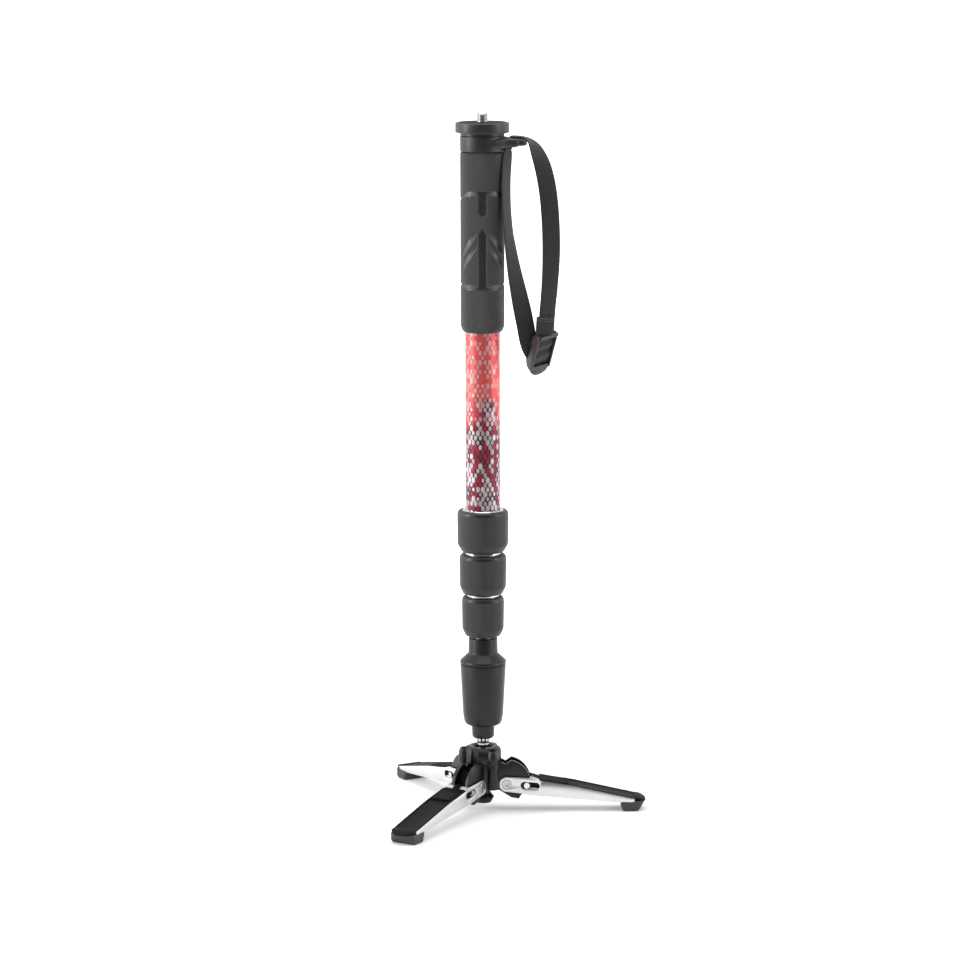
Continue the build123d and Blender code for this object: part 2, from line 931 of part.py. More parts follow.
def make_grip():
    bore = tube_radii[0]
    grip = turned([
        (bore, grip_base),
        (grip_foot_radius, grip_base),
        ((grip_foot_radius + grip_bottom_radius) / 2 + edge_break, grip_base + grip_taper_height / 3),
        (grip_bottom_radius, grip_base + grip_taper_height),
        (grip_top_radius, grip_top - grip_top_edge),
        (grip_top_radius - grip_top_edge, grip_top),
        (bore, grip_top),
    ])
    floor = grip_bottom_radius - grip_groove_depth
    for drop, tilt in ((grip_upper_groove, -grip_upper_tilt), (grip_lower_groove, grip_lower_tilt)):
        place = Pos(0, 0, grip_top - drop) * Rot(tilt, 0, 0)
        band = Cylinder(grip_top_radius + 2 * overrun, grip_groove_width)
        grip -= place * (band - Cylinder(floor, grip_groove_width))
    return grip - front_slot()


def front_slot():
    """The long moulded slot in the front of the grip, cut to one depth."""
    high = grip_top - grip_slot_top
    low = high - grip_slot_length
    reach = grip_top_radius + overrun
    cut = Pos(0, -reach / 2, (low + high) / 2) * Box(grip_slot_width, reach, high - low)
    return cut - upright_bar(grip_bottom_radius - grip_relief_depth, grip_base, grip_top)


def make_strap_ring():
    bore = tube_radii[0] + turn_gap
    outer = tube_radii[0] + ring_wall
    top = ring_base + ring_height
    collar = turned([
        (bore, ring_base),
        (outer - ring_edge, ring_base),
        (outer, ring_base + ring_edge),
        (outer, top - ring_edge),
        (outer - ring_edge, top),
        (bore, top),
    ])
    lug_base = ring_base + lug_drop
    lug = side_plate(
        [
            (lug_root, ring_base + ring_edge),
            (lug_shoulder, lug_base),
            (lug_end - lug_nose, lug_base),
            (lug_end, lug_base + lug_nose),
            (lug_end, lug_base + lug_end_height - lug_nose),
            (lug_end - lug_nose, lug_base + lug_end_height),
            (lug_shoulder, top - lug_fall),
            (lug_root, top - ring_edge),
        ],
        lug_root_half_width,
    )
    plan = make_face(Polyline(
        (lug_root, -lug_root_half_width, 0),
        (lug_shoulder, -lug_half_width, 0),
        (lug_end, -lug_half_width, 0),
        (lug_end, lug_half_width, 0),
        (lug_shoulder, lug_half_width, 0),
        (lug_root, lug_root_half_width, 0),
        close=True,
    ))
    lug &= Pos(0, 0, ring_base) * extrude(plan, amount=ring_height)
    slot_end_reach = lug_slot_start + lug_slot_length
    lug -= block(lug_slot_start, slot_end_reach, lug_slot_half_width, ring_base - overrun, top + overrun)
    lug -= ring(0, bore, ring_base - overrun, top + overrun)
    return collar + lug


def make_plug():
    low = head_top - plug_depth
    return turned([
        (0, low),
        (tube_bores[0] - edge_break, low),
        (tube_bores[0], low + edge_break),
        (tube_bores[0], head_top),
        (camera_shank_radius, head_top),
        (camera_shank_radius, head_top - plug_bore_depth),
        (0, head_top - plug_bore_depth),
    ])


def make_plate():
    recess = plate_radius - pad_inset - plate_edge
    return turned([
        (camera_shank_radius, head_top),
        (plate_neck_radius, head_top),
        (plate_neck_radius, plate_base),
        (plate_radius - edge_break, plate_base),
        (plate_radius, plate_base + edge_break),
        (plate_radius, plate_top - plate_edge),
        (plate_radius - plate_edge, plate_top),
        (recess, plate_top),
        (recess, plate_top - pad_sink),
        (camera_shank_radius, plate_top - pad_sink),
    ])


def make_top_pad():
    outer = plate_radius - pad_inset - plate_edge
    return ring(camera_screw_radius + turn_gap, outer, plate_top - pad_sink, pad_top)


def make_camera_screw():
    top = pad_top + camera_screw_proud
    return turned([
        (0, head_top - camera_screw_depth),
        (camera_shank_radius, head_top - camera_screw_depth),
        (camera_shank_radius, pad_top + rest_gap),
        (camera_screw_radius, pad_top + rest_gap),
        (camera_screw_radius, top - camera_screw_tip),
        (camera_screw_radius - camera_screw_tip, top),
        (0, top),
    ])


# Wrist strap and buckle

def strap_frames():
    """A plane square to the strap at each point of its route, with X along the strap's width."""
    points = [Vector(*point) for point in strap_route]
    frames = []
    for index, (point, turn) in enumerate(zip(points, strap_turns)):
        ahead = points[min(index + 1, len(points) - 1)]
        behind = points[max(index - 1, 0)]
        along = (ahead - behind).normalized()
        flat = Vector(cos(radians(turn)), sin(radians(turn)), 0)
        width = (flat - along * flat.dot(along)).normalized()
        frames.append(Plane(origin=point, x_dir=width, z_dir=along))
    return frames


def make_strap():
    sections = [frame * Rectangle(strap_width, strap_thickness) for frame in strap_frames()]
    return loft(sections, ruled=True)


def bend_radii():
    """The radius that each bend of the strap has room for, from the shorter of its two runs."""
    points = [Vector(*point) for point in strap_route]
    radii = []
    for behind, here, ahead in zip(points, points[1:], points[2:]):
        first, second = here - behind, ahead - here
        turn = radians(first.get_angle(second))
        room = strap_bend_share * min(first.length, second.length)
        radii.append(room / tan(turn / 2))
    return radii


def make_buckle():
    """Two side plates with curved backs, the bars between them and a rounded lip below."""
    half = buckle_height / 2
    outline = make_face([
        Line((0, -half), (0, half)),
        ThreePointArc((0, half), (buckle_side_depth, 0), (0, -half)),
    ])
    side = extrude(Plane.YZ * outline, amount=buckle_side)
    frame = Pos(buckle_half_width - buckle_side, 0, 0) * side
    frame += Pos(-buckle_half_width, 0, 0) * side
    reach = half - buckle_bar
    for share in buckle_bar_shares:
        bar = Box(2 * buckle_half_width, buckle_bar_depth, buckle_bar)
        frame += Pos(0, buckle_bar_depth / 2, share * reach) * bar
    disc = Rot(90, 0, 0) * Cylinder(buckle_lip_radius, buckle_bar_depth)
    lip = Pos(0, buckle_bar_depth / 2, -reach) * disc
    slot = 2 * reach
    lip -= Pos(0, 0, -reach + slot / 2) * Box(slot, slot, slot)
    place = Pos(*buckle_centre) * Rot(0, buckle_lean, 0) * Rot(buckle_pitch, 0, 0) * Rot(0, 0, buckle_yaw)
    return place * (frame + lip)


def write(name, shape):
    export_step(shape, "parts/" + name + ".step")


write("hub_body", make_hub_body())
write("hub_cap", make_hub_cap())
write("hub_screws", make_hub_screws())

leg_pieces = {
    "channel": make_channel(),
    "cover": make_cover(),
    "slider": make_slider(),
    "latch_studs": make_studs(),
    "pivot_screw": make_pivot_screw(),
    "washers": make_washers(),
    "shoe": make_shoe(),
}
for number, turn in enumerate(leg_turns, 1):
    for piece, shape in leg_pieces.items():
        write(f"leg_{number}_{piece}", on_leg(turn) * shape)

write("ball_liner", make_liner())
write("ball_stem", make_ball_stem())
write("damper_rotor", make_rotor())
write("shaft_nut", ring(shaft_thread_radius, nut_radius, nut_base, nut_base + nut_height))
write("shaft_boot", make_boot())
write("fluid_housing", make_housing())
write("fluid_cap", make_cap())
write("lower_bearing", make_bearing(housing_base + bearing_floor))
write("upper_bearing", make_bearing(spigot_base))
seal_base = housing_base + bearing_floor + bearing_height
write("fluid_seal", ring(shaft_radius + bearing_gap, bearing_radius, seal_base, seal_base + seal_height))

for stage in range(len(tube_radii)):
    write(f"tube_{stage + 1}", make_tube(stage))
    if stage > 0:
        write(f"guide_bush_{stage + 1}", make_bush(stage))
    if stage < len(collar_radii):
        write(f"lock_sleeve_{stage + 1}", make_sleeve(stage))
        write(f"lock_collet_{stage + 1}", make_collet(stage))
        write(f"lock_collar_{stage + 1}", make_collar(stage))

write("grip", make_grip())
write("strap_ring", make_strap_ring())
write("head_plug", make_plug())
write("top_plate", make_plate())
write("top_pad", make_top_pad())
write("camera_screw", make_camera_screw())

write("wrist_strap", make_strap())
write("strap_buckle", make_buckle())
print("strap bend radii", [round(radius, 1) for radius in bend_radii()])
print("top of the pad", round(pad_top, 2))
print("collar bases", [round(base, 2) for base in collar_bases])
print("tube bases", [round(base, 2) for base in tube_bases])
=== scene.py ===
import math
import bmesh
import bpy
from mathutils import Matrix, Vector


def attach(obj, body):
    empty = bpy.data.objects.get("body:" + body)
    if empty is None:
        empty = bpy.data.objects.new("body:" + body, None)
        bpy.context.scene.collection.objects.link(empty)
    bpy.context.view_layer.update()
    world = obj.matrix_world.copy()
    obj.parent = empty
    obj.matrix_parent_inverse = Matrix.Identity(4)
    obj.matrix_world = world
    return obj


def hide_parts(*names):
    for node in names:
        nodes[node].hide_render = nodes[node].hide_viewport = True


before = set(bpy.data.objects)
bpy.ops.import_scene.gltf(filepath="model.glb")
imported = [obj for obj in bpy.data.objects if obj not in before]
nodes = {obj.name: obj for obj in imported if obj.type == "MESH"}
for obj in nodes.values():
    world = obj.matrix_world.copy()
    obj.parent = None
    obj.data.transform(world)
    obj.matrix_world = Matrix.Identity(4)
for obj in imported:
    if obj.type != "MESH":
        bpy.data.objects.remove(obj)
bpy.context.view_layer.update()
MM = 0.001
COLUMN_STEPS = 96


CAMERA_DISTANCE = 2.9485
CAMERA_HEIGHT = 0.7742
CAMERA_SIDE = -0.0016
CAMERA_DOWN = 9.4535
CAMERA_ROLL = 0.09
CAMERA_LENS = 133.81

camera_data = bpy.data.cameras.new("viewpoint")
camera_data.lens = CAMERA_LENS
camera_data.sensor_width = 36.0
camera = bpy.data.objects.new("viewpoint", camera_data)
bpy.context.scene.collection.objects.link(camera)
camera.location = (CAMERA_SIDE, -CAMERA_DISTANCE, CAMERA_HEIGHT)
camera.rotation_euler = (math.radians(90 - CAMERA_DOWN), math.radians(CAMERA_ROLL), 0)
bpy.context.scene.camera = camera


class Wiring:
    """Adds nodes to one node tree and joins them."""

    def __init__(self, tree):
        self.tree = tree

    def add(self, kind, values=(), **settings):
        node = self.tree.nodes.new("ShaderNode" + kind)
        for name, value in settings.items():
            setattr(node, name, value)
        pairs = values.items() if isinstance(values, dict) else enumerate(values)
        for place, value in pairs:
            if value is None:
                continue
            if isinstance(value, bpy.types.NodeSocket):
                self.tree.links.new(value, node.inputs[place])
            else:
                node.inputs[place].default_value = value
        return node

    def math(self, operation, first, second=None, third=None):
        return self.add("Math", [first, second, third], operation=operation).outputs[0]

    def vector(self, operation, first, second=None):
        return self.add("VectorMath", [first, second], operation=operation).outputs[0]

    def ramp(self, value, low, high):
        """0 below low and 1 above high, smooth between."""
        node = self.add("MapRange", {"Value": value, "From Min": low, "From Max": high}, interpolation_type="SMOOTHSTEP")
        return node.outputs[0]

    def mix(self, share, first, second):
        node = self.add("Mix", data_type="RGBA")
        for place, value in ((0, share), (6, first), (7, second)):
            if isinstance(value, bpy.types.NodeSocket):
                self.tree.links.new(value, node.inputs[place])
            else:
                node.inputs[place].default_value = value if place == 0 else (*value, 1)
        return node.outputs[2]


def effect(name, inputs, outputs):
    """A node group with named inputs and outputs, and its wiring."""
    group = bpy.data.node_groups.new(name, "ShaderNodeTree")
    for label, value in inputs.items():
        kind = "NodeSocketVector" if isinstance(value, tuple) else "NodeSocketFloat"
        socket = group.interface.new_socket(label, in_out="INPUT", socket_type=kind)
        socket.default_value = value
    for label in outputs:
        kind = "NodeSocketColor" if label == "Colour" else "NodeSocketFloat"
        if label == "Place":
            kind = "NodeSocketVector"
        group.interface.new_socket(label, in_out="OUTPUT", socket_type=kind)
    source = group.nodes.new("NodeGroupInput")
    sink = group.nodes.new("NodeGroupOutput")
    return group, Wiring(group), source.outputs, sink.inputs


def make_column_wrap():
    """Object coordinates unrolled round the column: arc length and height in millimetres."""
    group, w, given, out = effect("column wrap", {"Radius": 15.0}, ["Place"])
    place = w.add("TexCoord").outputs["Object"]
    split = w.add("SeparateXYZ", [place]).outputs
    angle = w.math("ARCTAN2", split[0], w.math("MULTIPLY", split[1], -1.0))
    arc = w.math("MULTIPLY", angle, given["Radius"])
    height = w.math("DIVIDE", split[2], MM)
    joined = w.add("CombineXYZ", [arc, height, 0.0]).outputs[0]
    w.tree.links.new(joined, out["Place"])
    return group


def make_knurl():
    """Fine crossed grooves on a round grip: small raised diamonds."""
    group, w, given, out = effect(
        "diamond knurl", {"Radius": 18.0, "Pitch": 1.3, "Width": 1.0}, ["Height", "Mask"]
    )
    wrap = w.add("Group")
    wrap.node_tree = bpy.data.node_groups["column wrap"]
    w.tree.links.new(given["Radius"], wrap.inputs[0])
    split = w.add("SeparateXYZ", [wrap.outputs[0]]).outputs
    across = w.math("DIVIDE", split[0], given["Pitch"])
    up = w.math("DIVIDE", split[1], w.math("MULTIPLY", given["Pitch"], given["Width"]))
    heights = []
    for way in ("ADD", "SUBTRACT"):
        turns = w.math(way, across, up)
        wave = w.math("PINGPONG", turns, 0.5)
        heights.append(w.math("MULTIPLY", wave, 2.0))
    height = w.math("MINIMUM", *heights)
    w.tree.links.new(height, out["Height"])
    w.tree.links.new(w.ramp(height, 0.05, 0.5), out["Mask"])
    return group


def make_grain():
    """A fine moulded grain."""
    group, w, given, out = effect("moulded grain", {"Scale": 900.0, "Softness": 0.6}, ["Height", "Mask"])
    place = w.add("TexCoord").outputs["Object"]
    noise = w.add("TexNoise", {"Vector": place, "Scale": given["Scale"], "Detail": 3.0, "Roughness": given["Softness"]})
    w.tree.links.new(noise.outputs[0], out["Height"])
    w.tree.links.new(w.ramp(noise.outputs[0], 0.35, 0.65), out["Mask"])
    return group


def make_brushing():
    """Fine scratches along one direction, which Stretch sets."""
    group, w, given, out = effect("brushed lines", {"Stretch": (60.0, 900.0, 900.0)}, ["Height", "Mask"])
    place = w.add("TexCoord").outputs["Object"]
    stretched = w.vector("MULTIPLY", place, given["Stretch"])
    noise = w.add("TexNoise", {"Vector": stretched, "Scale": 1.0, "Detail": 4.0, "Roughness": 0.7})
    w.tree.links.new(noise.outputs[0], out["Height"])
    w.tree.links.new(w.ramp(noise.outputs[0], 0.3, 0.7), out["Mask"])
    return group


def make_wear():
    """Soft blotches of handling, for colour and roughness."""
    group, w, given, out = effect("handling wear", {"Scale": 40.0, "Low": 0.4, "High": 0.75}, ["Mask"])
    place = w.add("TexCoord").outputs["Object"]
    noise = w.add("TexNoise", {"Vector": place, "Scale": given["Scale"], "Detail": 6.0, "Roughness": 0.65})
    spread = w.add(
        "MapRange", {"Value": noise.outputs[0], "From Min": given["Low"], "From Max": given["High"]},
        interpolation_type="SMOOTHSTEP",
    )
    w.tree.links.new(spread.outputs[0], out["Mask"])
    return group


def make_weave():
    """Flat webbing: ribs along the strap, crossed by a fine diagonal weave."""
    group, w, given, out = effect("webbing weave", {"Pitch": 1.5, "Width": 15.0}, ["Height", "Mask"])
    along = w.add("Attribute", attribute_name="along").outputs["Fac"]
    across = w.add("Attribute", attribute_name="across").outputs["Fac"]
    column = w.math("DIVIDE", w.math("MULTIPLY", across, given["Width"]), given["Pitch"])
    row = w.math("DIVIDE", w.math("DIVIDE", along, MM), given["Pitch"])
    lean = w.math("PINGPONG", column, 1.0)
    twill = w.math("PINGPONG", w.math("ADD", w.math("MULTIPLY", row, 1.3), lean), 0.5)
    rib = w.math("PINGPONG", column, 0.5)
    height = w.math("ADD", w.math("MULTIPLY", twill, 1.2), w.math("MULTIPLY", rib, 0.8))
    w.tree.links.new(height, out["Height"])
    w.tree.links.new(w.ramp(height, 0.15, 0.85), out["Mask"])
    return group


def make_print():
    """Staggered ovals of several sizes on a ground that runs from coral at the top to plum below."""
    group, w, given, out = effect(
        "printed cells", {"Radius": 14.6, "Count": 22.0, "Low": 236.0, "High": 412.0}, ["Colour", "Mask"]
    )
    wrap = w.add("Group")
    wrap.node_tree = bpy.data.node_groups["column wrap"]
    w.tree.links.new(given["Radius"], wrap.inputs[0])
    pitch = w.math("DIVIDE", w.math("MULTIPLY", given["Radius"], 2 * math.pi), given["Count"])
    rise = w.math("MULTIPLY", pitch, 1.9)
    size = w.add("CombineXYZ", [pitch, rise, 1.0]).outputs[0]
    grid = w.vector("DIVIDE", wrap.outputs[0], size)
    cells = []
    for shift, tag in ((0.0, 0.0), (0.5, 17.0)):
        moved_grid = w.vector("ADD", grid, (shift, shift, 0.0))
        local = w.vector("SUBTRACT", w.vector("FRACTION", moved_grid), (0.5, 0.5, 0.0))
        offset = w.vector("MULTIPLY", w.vector("MULTIPLY", local, size), (1.0, 0.68, 0.0))
        reach = w.add("VectorMath", [offset], operation="LENGTH").outputs["Value"]
        name = w.vector("ADD", w.vector("FLOOR", moved_grid), (tag, 2 * tag, tag))
        cells.append((reach, name))
    nearest = w.math("MINIMUM", cells[0][0], cells[1][0])
    second = w.math("GREATER_THAN", cells[0][0], cells[1][0])
    name_mix = w.add("Mix", data_type="VECTOR")
    w.tree.links.new(second, name_mix.inputs[0])
    w.tree.links.new(cells[0][1], name_mix.inputs[4])
    w.tree.links.new(cells[1][1], name_mix.inputs[5])
    chance = w.add("TexWhiteNoise", [name_mix.outputs[1]], noise_dimensions="3D").outputs
    draws = w.add("SeparateColor", [chance["Color"]]).outputs
    place = w.add("TexCoord").outputs["Object"]
    drift = w.add("TexNoise", {"Vector": place, "Scale": 32.0, "Detail": 2.0}).outputs[0]
    height = w.add("SeparateXYZ", [wrap.outputs[0]]).outputs[1]
    wandering = w.math("ADD", height, w.math("MULTIPLY", w.math("SUBTRACT", drift, 0.5), 110.0))
    level = w.add("MapRange", {"Value": wandering, "From Min": given["Low"], "From Max": given["High"]}).outputs[0]
    warm = w.ramp(level, 0.50, 0.66)
    ground = w.mix(warm, (0.045, 0.022, 0.032), (0.66, 0.10, 0.10))
    pale = w.mix(warm, (0.72, 0.62, 0.66), (0.90, 0.42, 0.40))
    strong = w.mix(warm, (0.42, 0.035, 0.06), (0.84, 0.12, 0.12))
    fill = w.mix(w.ramp(draws[0], 0.66, 0.70), pale, strong)
    fill = w.mix(w.math("MULTIPLY", draws[1], 0.5), fill, ground)
    radius = w.math("ADD", w.math("MULTIPLY", pitch, 0.26), w.math("MULTIPLY", draws[2], w.math("MULTIPLY", pitch, 0.18)))
    inside = w.math("SUBTRACT", radius, nearest)
    body = w.ramp(inside, -0.16, 0.16)
    w.tree.links.new(w.mix(body, ground, fill), out["Colour"])
    w.tree.links.new(body, out["Mask"])
    return group


column_wrap = make_column_wrap()
knurl = make_knurl()
grain = make_grain()
brushing = make_brushing()
wear = make_wear()
weave = make_weave()
printed_cells = make_print()


def finish(name, colour, worn, roughness, pattern, values, bump=0.2, depth=0.1,
           metallic=0.0, coat=0.0, sheen=0.0, wear_scale=40.0, wear_share=0.5, gap_shade=0.0, patch=None, gloss=0.5):
    """A material: a ground colour with handling wear, and a pattern that gives relief. Where asked, the pattern's
    hollows are darkened as painted shade, and a vertex value lightens given patches as a painted highlight.
    """
    material = bpy.data.materials.new(name)
    material.use_nodes = True
    tree = material.node_tree
    w = Wiring(tree)
    shader = tree.nodes["Principled BSDF"]
    worn_place = w.add("Group")
    worn_place.node_tree = wear
    worn_place.inputs["Scale"].default_value = wear_scale
    mask = w.math("MULTIPLY", worn_place.outputs["Mask"], wear_share)
    shaped = w.add("Group")
    shaped.node_tree = pattern
    for label, value in values.items():
        shaped.inputs[label].default_value = value
    if "Colour" in shaped.outputs:
        tone = w.mix(mask, colour, worn)
        tone = w.mix(0.06, shaped.outputs["Colour"], tone)
        height = shaped.outputs["Mask"]
    else:
        tone = w.mix(mask, colour, worn)
        # Painted shade: the pattern's hollows are darkened towards 0.35 of the colour, as much as the gap setting asks.
        shadow = w.math("MULTIPLY", w.math("SUBTRACT", 1.0, shaped.outputs["Mask"]), gap_shade)
        tone = w.mix(shadow, tone, tuple(part * 0.35 for part in colour))
        height = shaped.outputs["Height"]
    if patch:
        bare = w.add("Attribute", attribute_name=patch).outputs["Fac"]
        height = w.math("MULTIPLY", height, w.math("SUBTRACT", 1.0, bare))
        # Painted highlight: a vertex value lightens the colour up to 2.3 times on given patches.
        painted_highlight = w.add("Attribute", attribute_name="painted_highlight").outputs["Fac"]
        tone = w.mix(painted_highlight, tone, tuple(part * 2.3 for part in colour))
    rough = w.add("MapRange", {"Value": mask, "To Min": roughness[0], "To Max": roughness[1]}).outputs[0]
    if gap_shade:
        rough = w.math("ADD", rough, w.math("MULTIPLY", shadow, 0.3))
    if patch:
        rough = w.math("SUBTRACT", rough, w.math("MULTIPLY", bare, 0.12))
    relief = w.add("Bump", {"Strength": bump, "Distance": depth * MM, "Height": height})
    tree.links.new(tone, shader.inputs["Base Color"])
    tree.links.new(rough, shader.inputs["Roughness"])
    tree.links.new(relief.outputs[0], shader.inputs["Normal"])
    shader.inputs["Metallic"].default_value = metallic
    shader.inputs["Specular IOR Level"].default_value = gloss
    shader.inputs["Coat Weight"].default_value = coat
    shader.inputs["Coat Roughness"].default_value = 0.12
    shader.inputs["Sheen Weight"].default_value = sheen
    return material


# Painted shade darkens the knurl's hollows on the grip and the collars.
grip_rubber = finish(
    "knurled grip rubber", (0.021, 0.021, 0.023), (0.030, 0.030, 0.032), (0.36, 0.48), knurl,
    {"Radius": 18.4, "Pitch": 1.9}, bump=1.0, depth=0.55, gap_shade=1.0, patch="bare", gloss=0.68,
)
collar_rubber = finish(
    "knurled collar rubber", (0.014, 0.014, 0.016), (0.022, 0.022, 0.024), (0.36, 0.48), knurl,
    {"Radius": 20.0, "Pitch": 1.6}, bump=0.8, depth=0.35, gap_shade=0.8, patch="bare", gloss=0.5,
)
satin_plastic = finish(
    "satin black plastic", (0.010, 0.010, 0.011), (0.016, 0.016, 0.017), (0.3, 0.42), grain,
    {"Scale": 1600.0}, bump=0.2, depth=0.05, gloss=0.35,
)
ring_plastic = finish(
    "strap ring plastic", (0.026, 0.026, 0.028), (0.036, 0.036, 0.038), (0.38, 0.5), grain,
    {"Scale": 1700.0}, bump=0.25, depth=0.05,
)
cover_plastic = finish(
    "leg cover plastic", (0.010, 0.010, 0.011), (0.016, 0.016, 0.017), (0.5, 0.62), grain,
    {"Scale": 1500.0}, bump=0.25, depth=0.05, gloss=0.05,
)
slider_plastic = finish(
    "leg slider plastic", (0.008, 0.008, 0.009), (0.014, 0.014, 0.015), (0.55, 0.68), grain,
    {"Scale": 1500.0}, bump=0.25, depth=0.05, gloss=0.03,
)
# Near-black finish for faces deep in recesses: painted shade.
groove_shade_plastic = finish(
    "painted groove shade plastic", (0.002, 0.002, 0.002), (0.004, 0.004, 0.004), (0.6, 0.7), grain,
    {"Scale": 1200.0}, bump=0.1, depth=0.04, gloss=0.05,
)
buckle_plastic = finish(
    "buckle plastic", (0.024, 0.024, 0.026), (0.034, 0.034, 0.036), (0.3, 0.4), grain,
    {"Scale": 1400.0}, bump=0.12, depth=0.04,
)
hub_plastic = finish(
    "hub plastic", (0.007, 0.007, 0.008), (0.013, 0.013, 0.014), (0.3, 0.42), grain,
    {"Scale": 1200.0}, bump=0.12, depth=0.04, gloss=0.38,
)
gloss_plastic = finish(
    "glossy black plastic", (0.010, 0.010, 0.011), (0.016, 0.016, 0.018), (0.22, 0.34), grain,
    {"Scale": 1200.0}, bump=0.08, depth=0.04,
)
coated_alloy = finish(
    "charcoal coated alloy", (0.030, 0.030, 0.032), (0.042, 0.042, 0.045), (0.34, 0.46), grain,
    {"Scale": 2200.0}, bump=0.3, depth=0.05,
)
satin_alloy = finish(
    "satin alloy sheet", (0.72, 0.72, 0.73), (0.62, 0.62, 0.64), (0.3, 0.42), grain,
    {"Scale": 1500.0}, bump=0.15, depth=0.03, metallic=1.0, wear_scale=60.0,
)
bright_steel = finish(
    "polished steel", (0.70, 0.70, 0.71), (0.58, 0.58, 0.60), (0.1, 0.2), brushing,
    {"Stretch": (500.0, 500.0, 5000.0)}, bump=0.1, depth=0.02, metallic=1.0,
)
screw_steel = finish(
    "plated screw steel", (0.50, 0.50, 0.51), (0.40, 0.40, 0.41), (0.2, 0.32), brushing,
    {"Stretch": (900.0, 900.0, 900.0)}, bump=0.15, depth=0.02, metallic=1.0,
)
tube_alloy = finish(
    "anodised tube", (0.30, 0.30, 0.315), (0.24, 0.24, 0.25), (0.32, 0.42), brushing,
    {"Stretch": (2500.0, 2500.0, 60.0)}, bump=0.15, depth=0.02, metallic=1.0,
)
printed_tube = finish(
    "printed tube", (0.5, 0.2, 0.2), (0.3, 0.2, 0.2), (0.3, 0.4), printed_cells,
    {}, bump=0.12, depth=0.03, metallic=0.45, coat=0.06, gloss=0.2,
)
nylon = finish(
    "natural nylon", (0.62, 0.61, 0.57), (0.52, 0.51, 0.47), (0.45, 0.6), grain,
    {"Scale": 1400.0}, bump=0.2, depth=0.05,
)
shoe_rubber = finish(
    "soft shoe rubber", (0.034, 0.034, 0.036), (0.052, 0.051, 0.05), (0.6, 0.78), grain,
    {"Scale": 1100.0}, bump=0.4, depth=0.08, wear_scale=90.0,
)
pad_rubber = finish(
    "plate rubber", (0.010, 0.010, 0.011), (0.018, 0.018, 0.019), (0.6, 0.8), grain,
    {"Scale": 1800.0}, bump=0.4, depth=0.06, gloss=0.25,
)
# Painted shade darkens the hollows of the weave.
webbing = finish(
    "black webbing", (0.026, 0.026, 0.028), (0.035, 0.035, 0.037), (0.7, 0.84), weave,
    {}, bump=0.7, depth=0.22, sheen=0.15, gap_shade=0.6,
)
thread_black = finish(
    "sewing thread", (0.12, 0.12, 0.125), (0.15, 0.15, 0.155), (0.7, 0.85), grain,
    {"Scale": 3000.0}, bump=0.3, depth=0.05, sheen=0.2,
)


def place_piece(shape, name, body, material, replaced=(), smooth=34):
    """Turns a bmesh into a piece of the object on one body."""
    mesh = bpy.data.meshes.new(name)
    shape.to_mesh(mesh)
    shape.free()
    mesh.shade_smooth()
    mesh.set_sharp_from_angle(angle=math.radians(smooth))
    for one in material if isinstance(material, (list, tuple)) else [material]:
        mesh.materials.append(one)
    piece = bpy.data.objects.new(name, mesh)
    bpy.context.scene.collection.objects.link(piece)
    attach(piece, body)
    if replaced:
        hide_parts(*replaced)
    return piece


def round_edges(shape, width, angle=28, segments=2):
    """Bevels every edge that is sharper than an angle."""
    sharp = [e for e in shape.edges if e.is_manifold and e.calc_face_angle() > math.radians(angle)]
    bmesh.ops.bevel(
        shape, geom=sharp, offset=width * MM, offset_type="OFFSET", affect="EDGES",
        segments=segments, profile=0.5, material=-1, clamp_overlap=True,
    )
    return shape


def turned(corners, steps=COLUMN_STEPS, closed=True):
    """Spins (radius, height) corners in millimetres about the column."""
    shape = bmesh.new()
    ring = [shape.verts.new((radius * MM, 0, height * MM)) for radius, height in corners]
    pairs = list(zip(ring, ring[1:])) + ([(ring[-1], ring[0])] if closed else [])
    edges = [shape.edges.new(pair) for pair in pairs]
    bmesh.ops.spin(
        shape, geom=ring + edges, cent=(0, 0, 0), axis=(0, 0, 1), dvec=(0, 0, 0),
        angle=2 * math.pi, steps=steps, use_merge=True,
    )
    bmesh.ops.remove_doubles(shape, verts=shape.verts, dist=1e-7)
    bmesh.ops.recalc_face_normals(shape, faces=shape.faces)
    return shape


def rounded(corners, steps=4):
    """(radius, height) corners, where a third number rounds that corner by so much."""
    line = []
    last = len(corners)
    for index, corner in enumerate(corners):
        here = Vector(corner[:2])
        reach = corner[2] if len(corner) > 2 else 0
        if not reach:
            line.append(tuple(here))
            continue
        before = Vector(corners[(index - 1) % last][:2]) - here
        after = Vector(corners[(index + 1) % last][:2]) - here
        start = here + before.normalized() * min(reach, before.length * 0.45)
        end = here + after.normalized() * min(reach, after.length * 0.45)
        for step in range(steps + 1):
            share = step / steps
            line.append(tuple(start * (1 - share) ** 2 + here * 2 * share * (1 - share) + end * share ** 2))
    return line


def rise_in_steps(corners, pitch):
    """The same line with points added so that no run is longer than a pitch."""
    line = []
    for here, ahead in zip(corners, corners[1:]):
        here, ahead = Vector(here), Vector(ahead)
        parts = max(1, math.ceil((ahead - here).length / pitch))
        line += [tuple(here.lerp(ahead, part / parts)) for part in range(parts)]
    return line + [tuple(corners[-1])]


def smooth_step(low, high, value):
    share = min(max((value - low) / (high - low), 0.0), 1.0)
    return share * share * (3 - 2 * share)


def within(value, half, soft):
    """1 where a value is nearer to zero than half, falling to 0 over a soft edge."""
    return 1 - smooth_step(half, half + soft, abs(value))


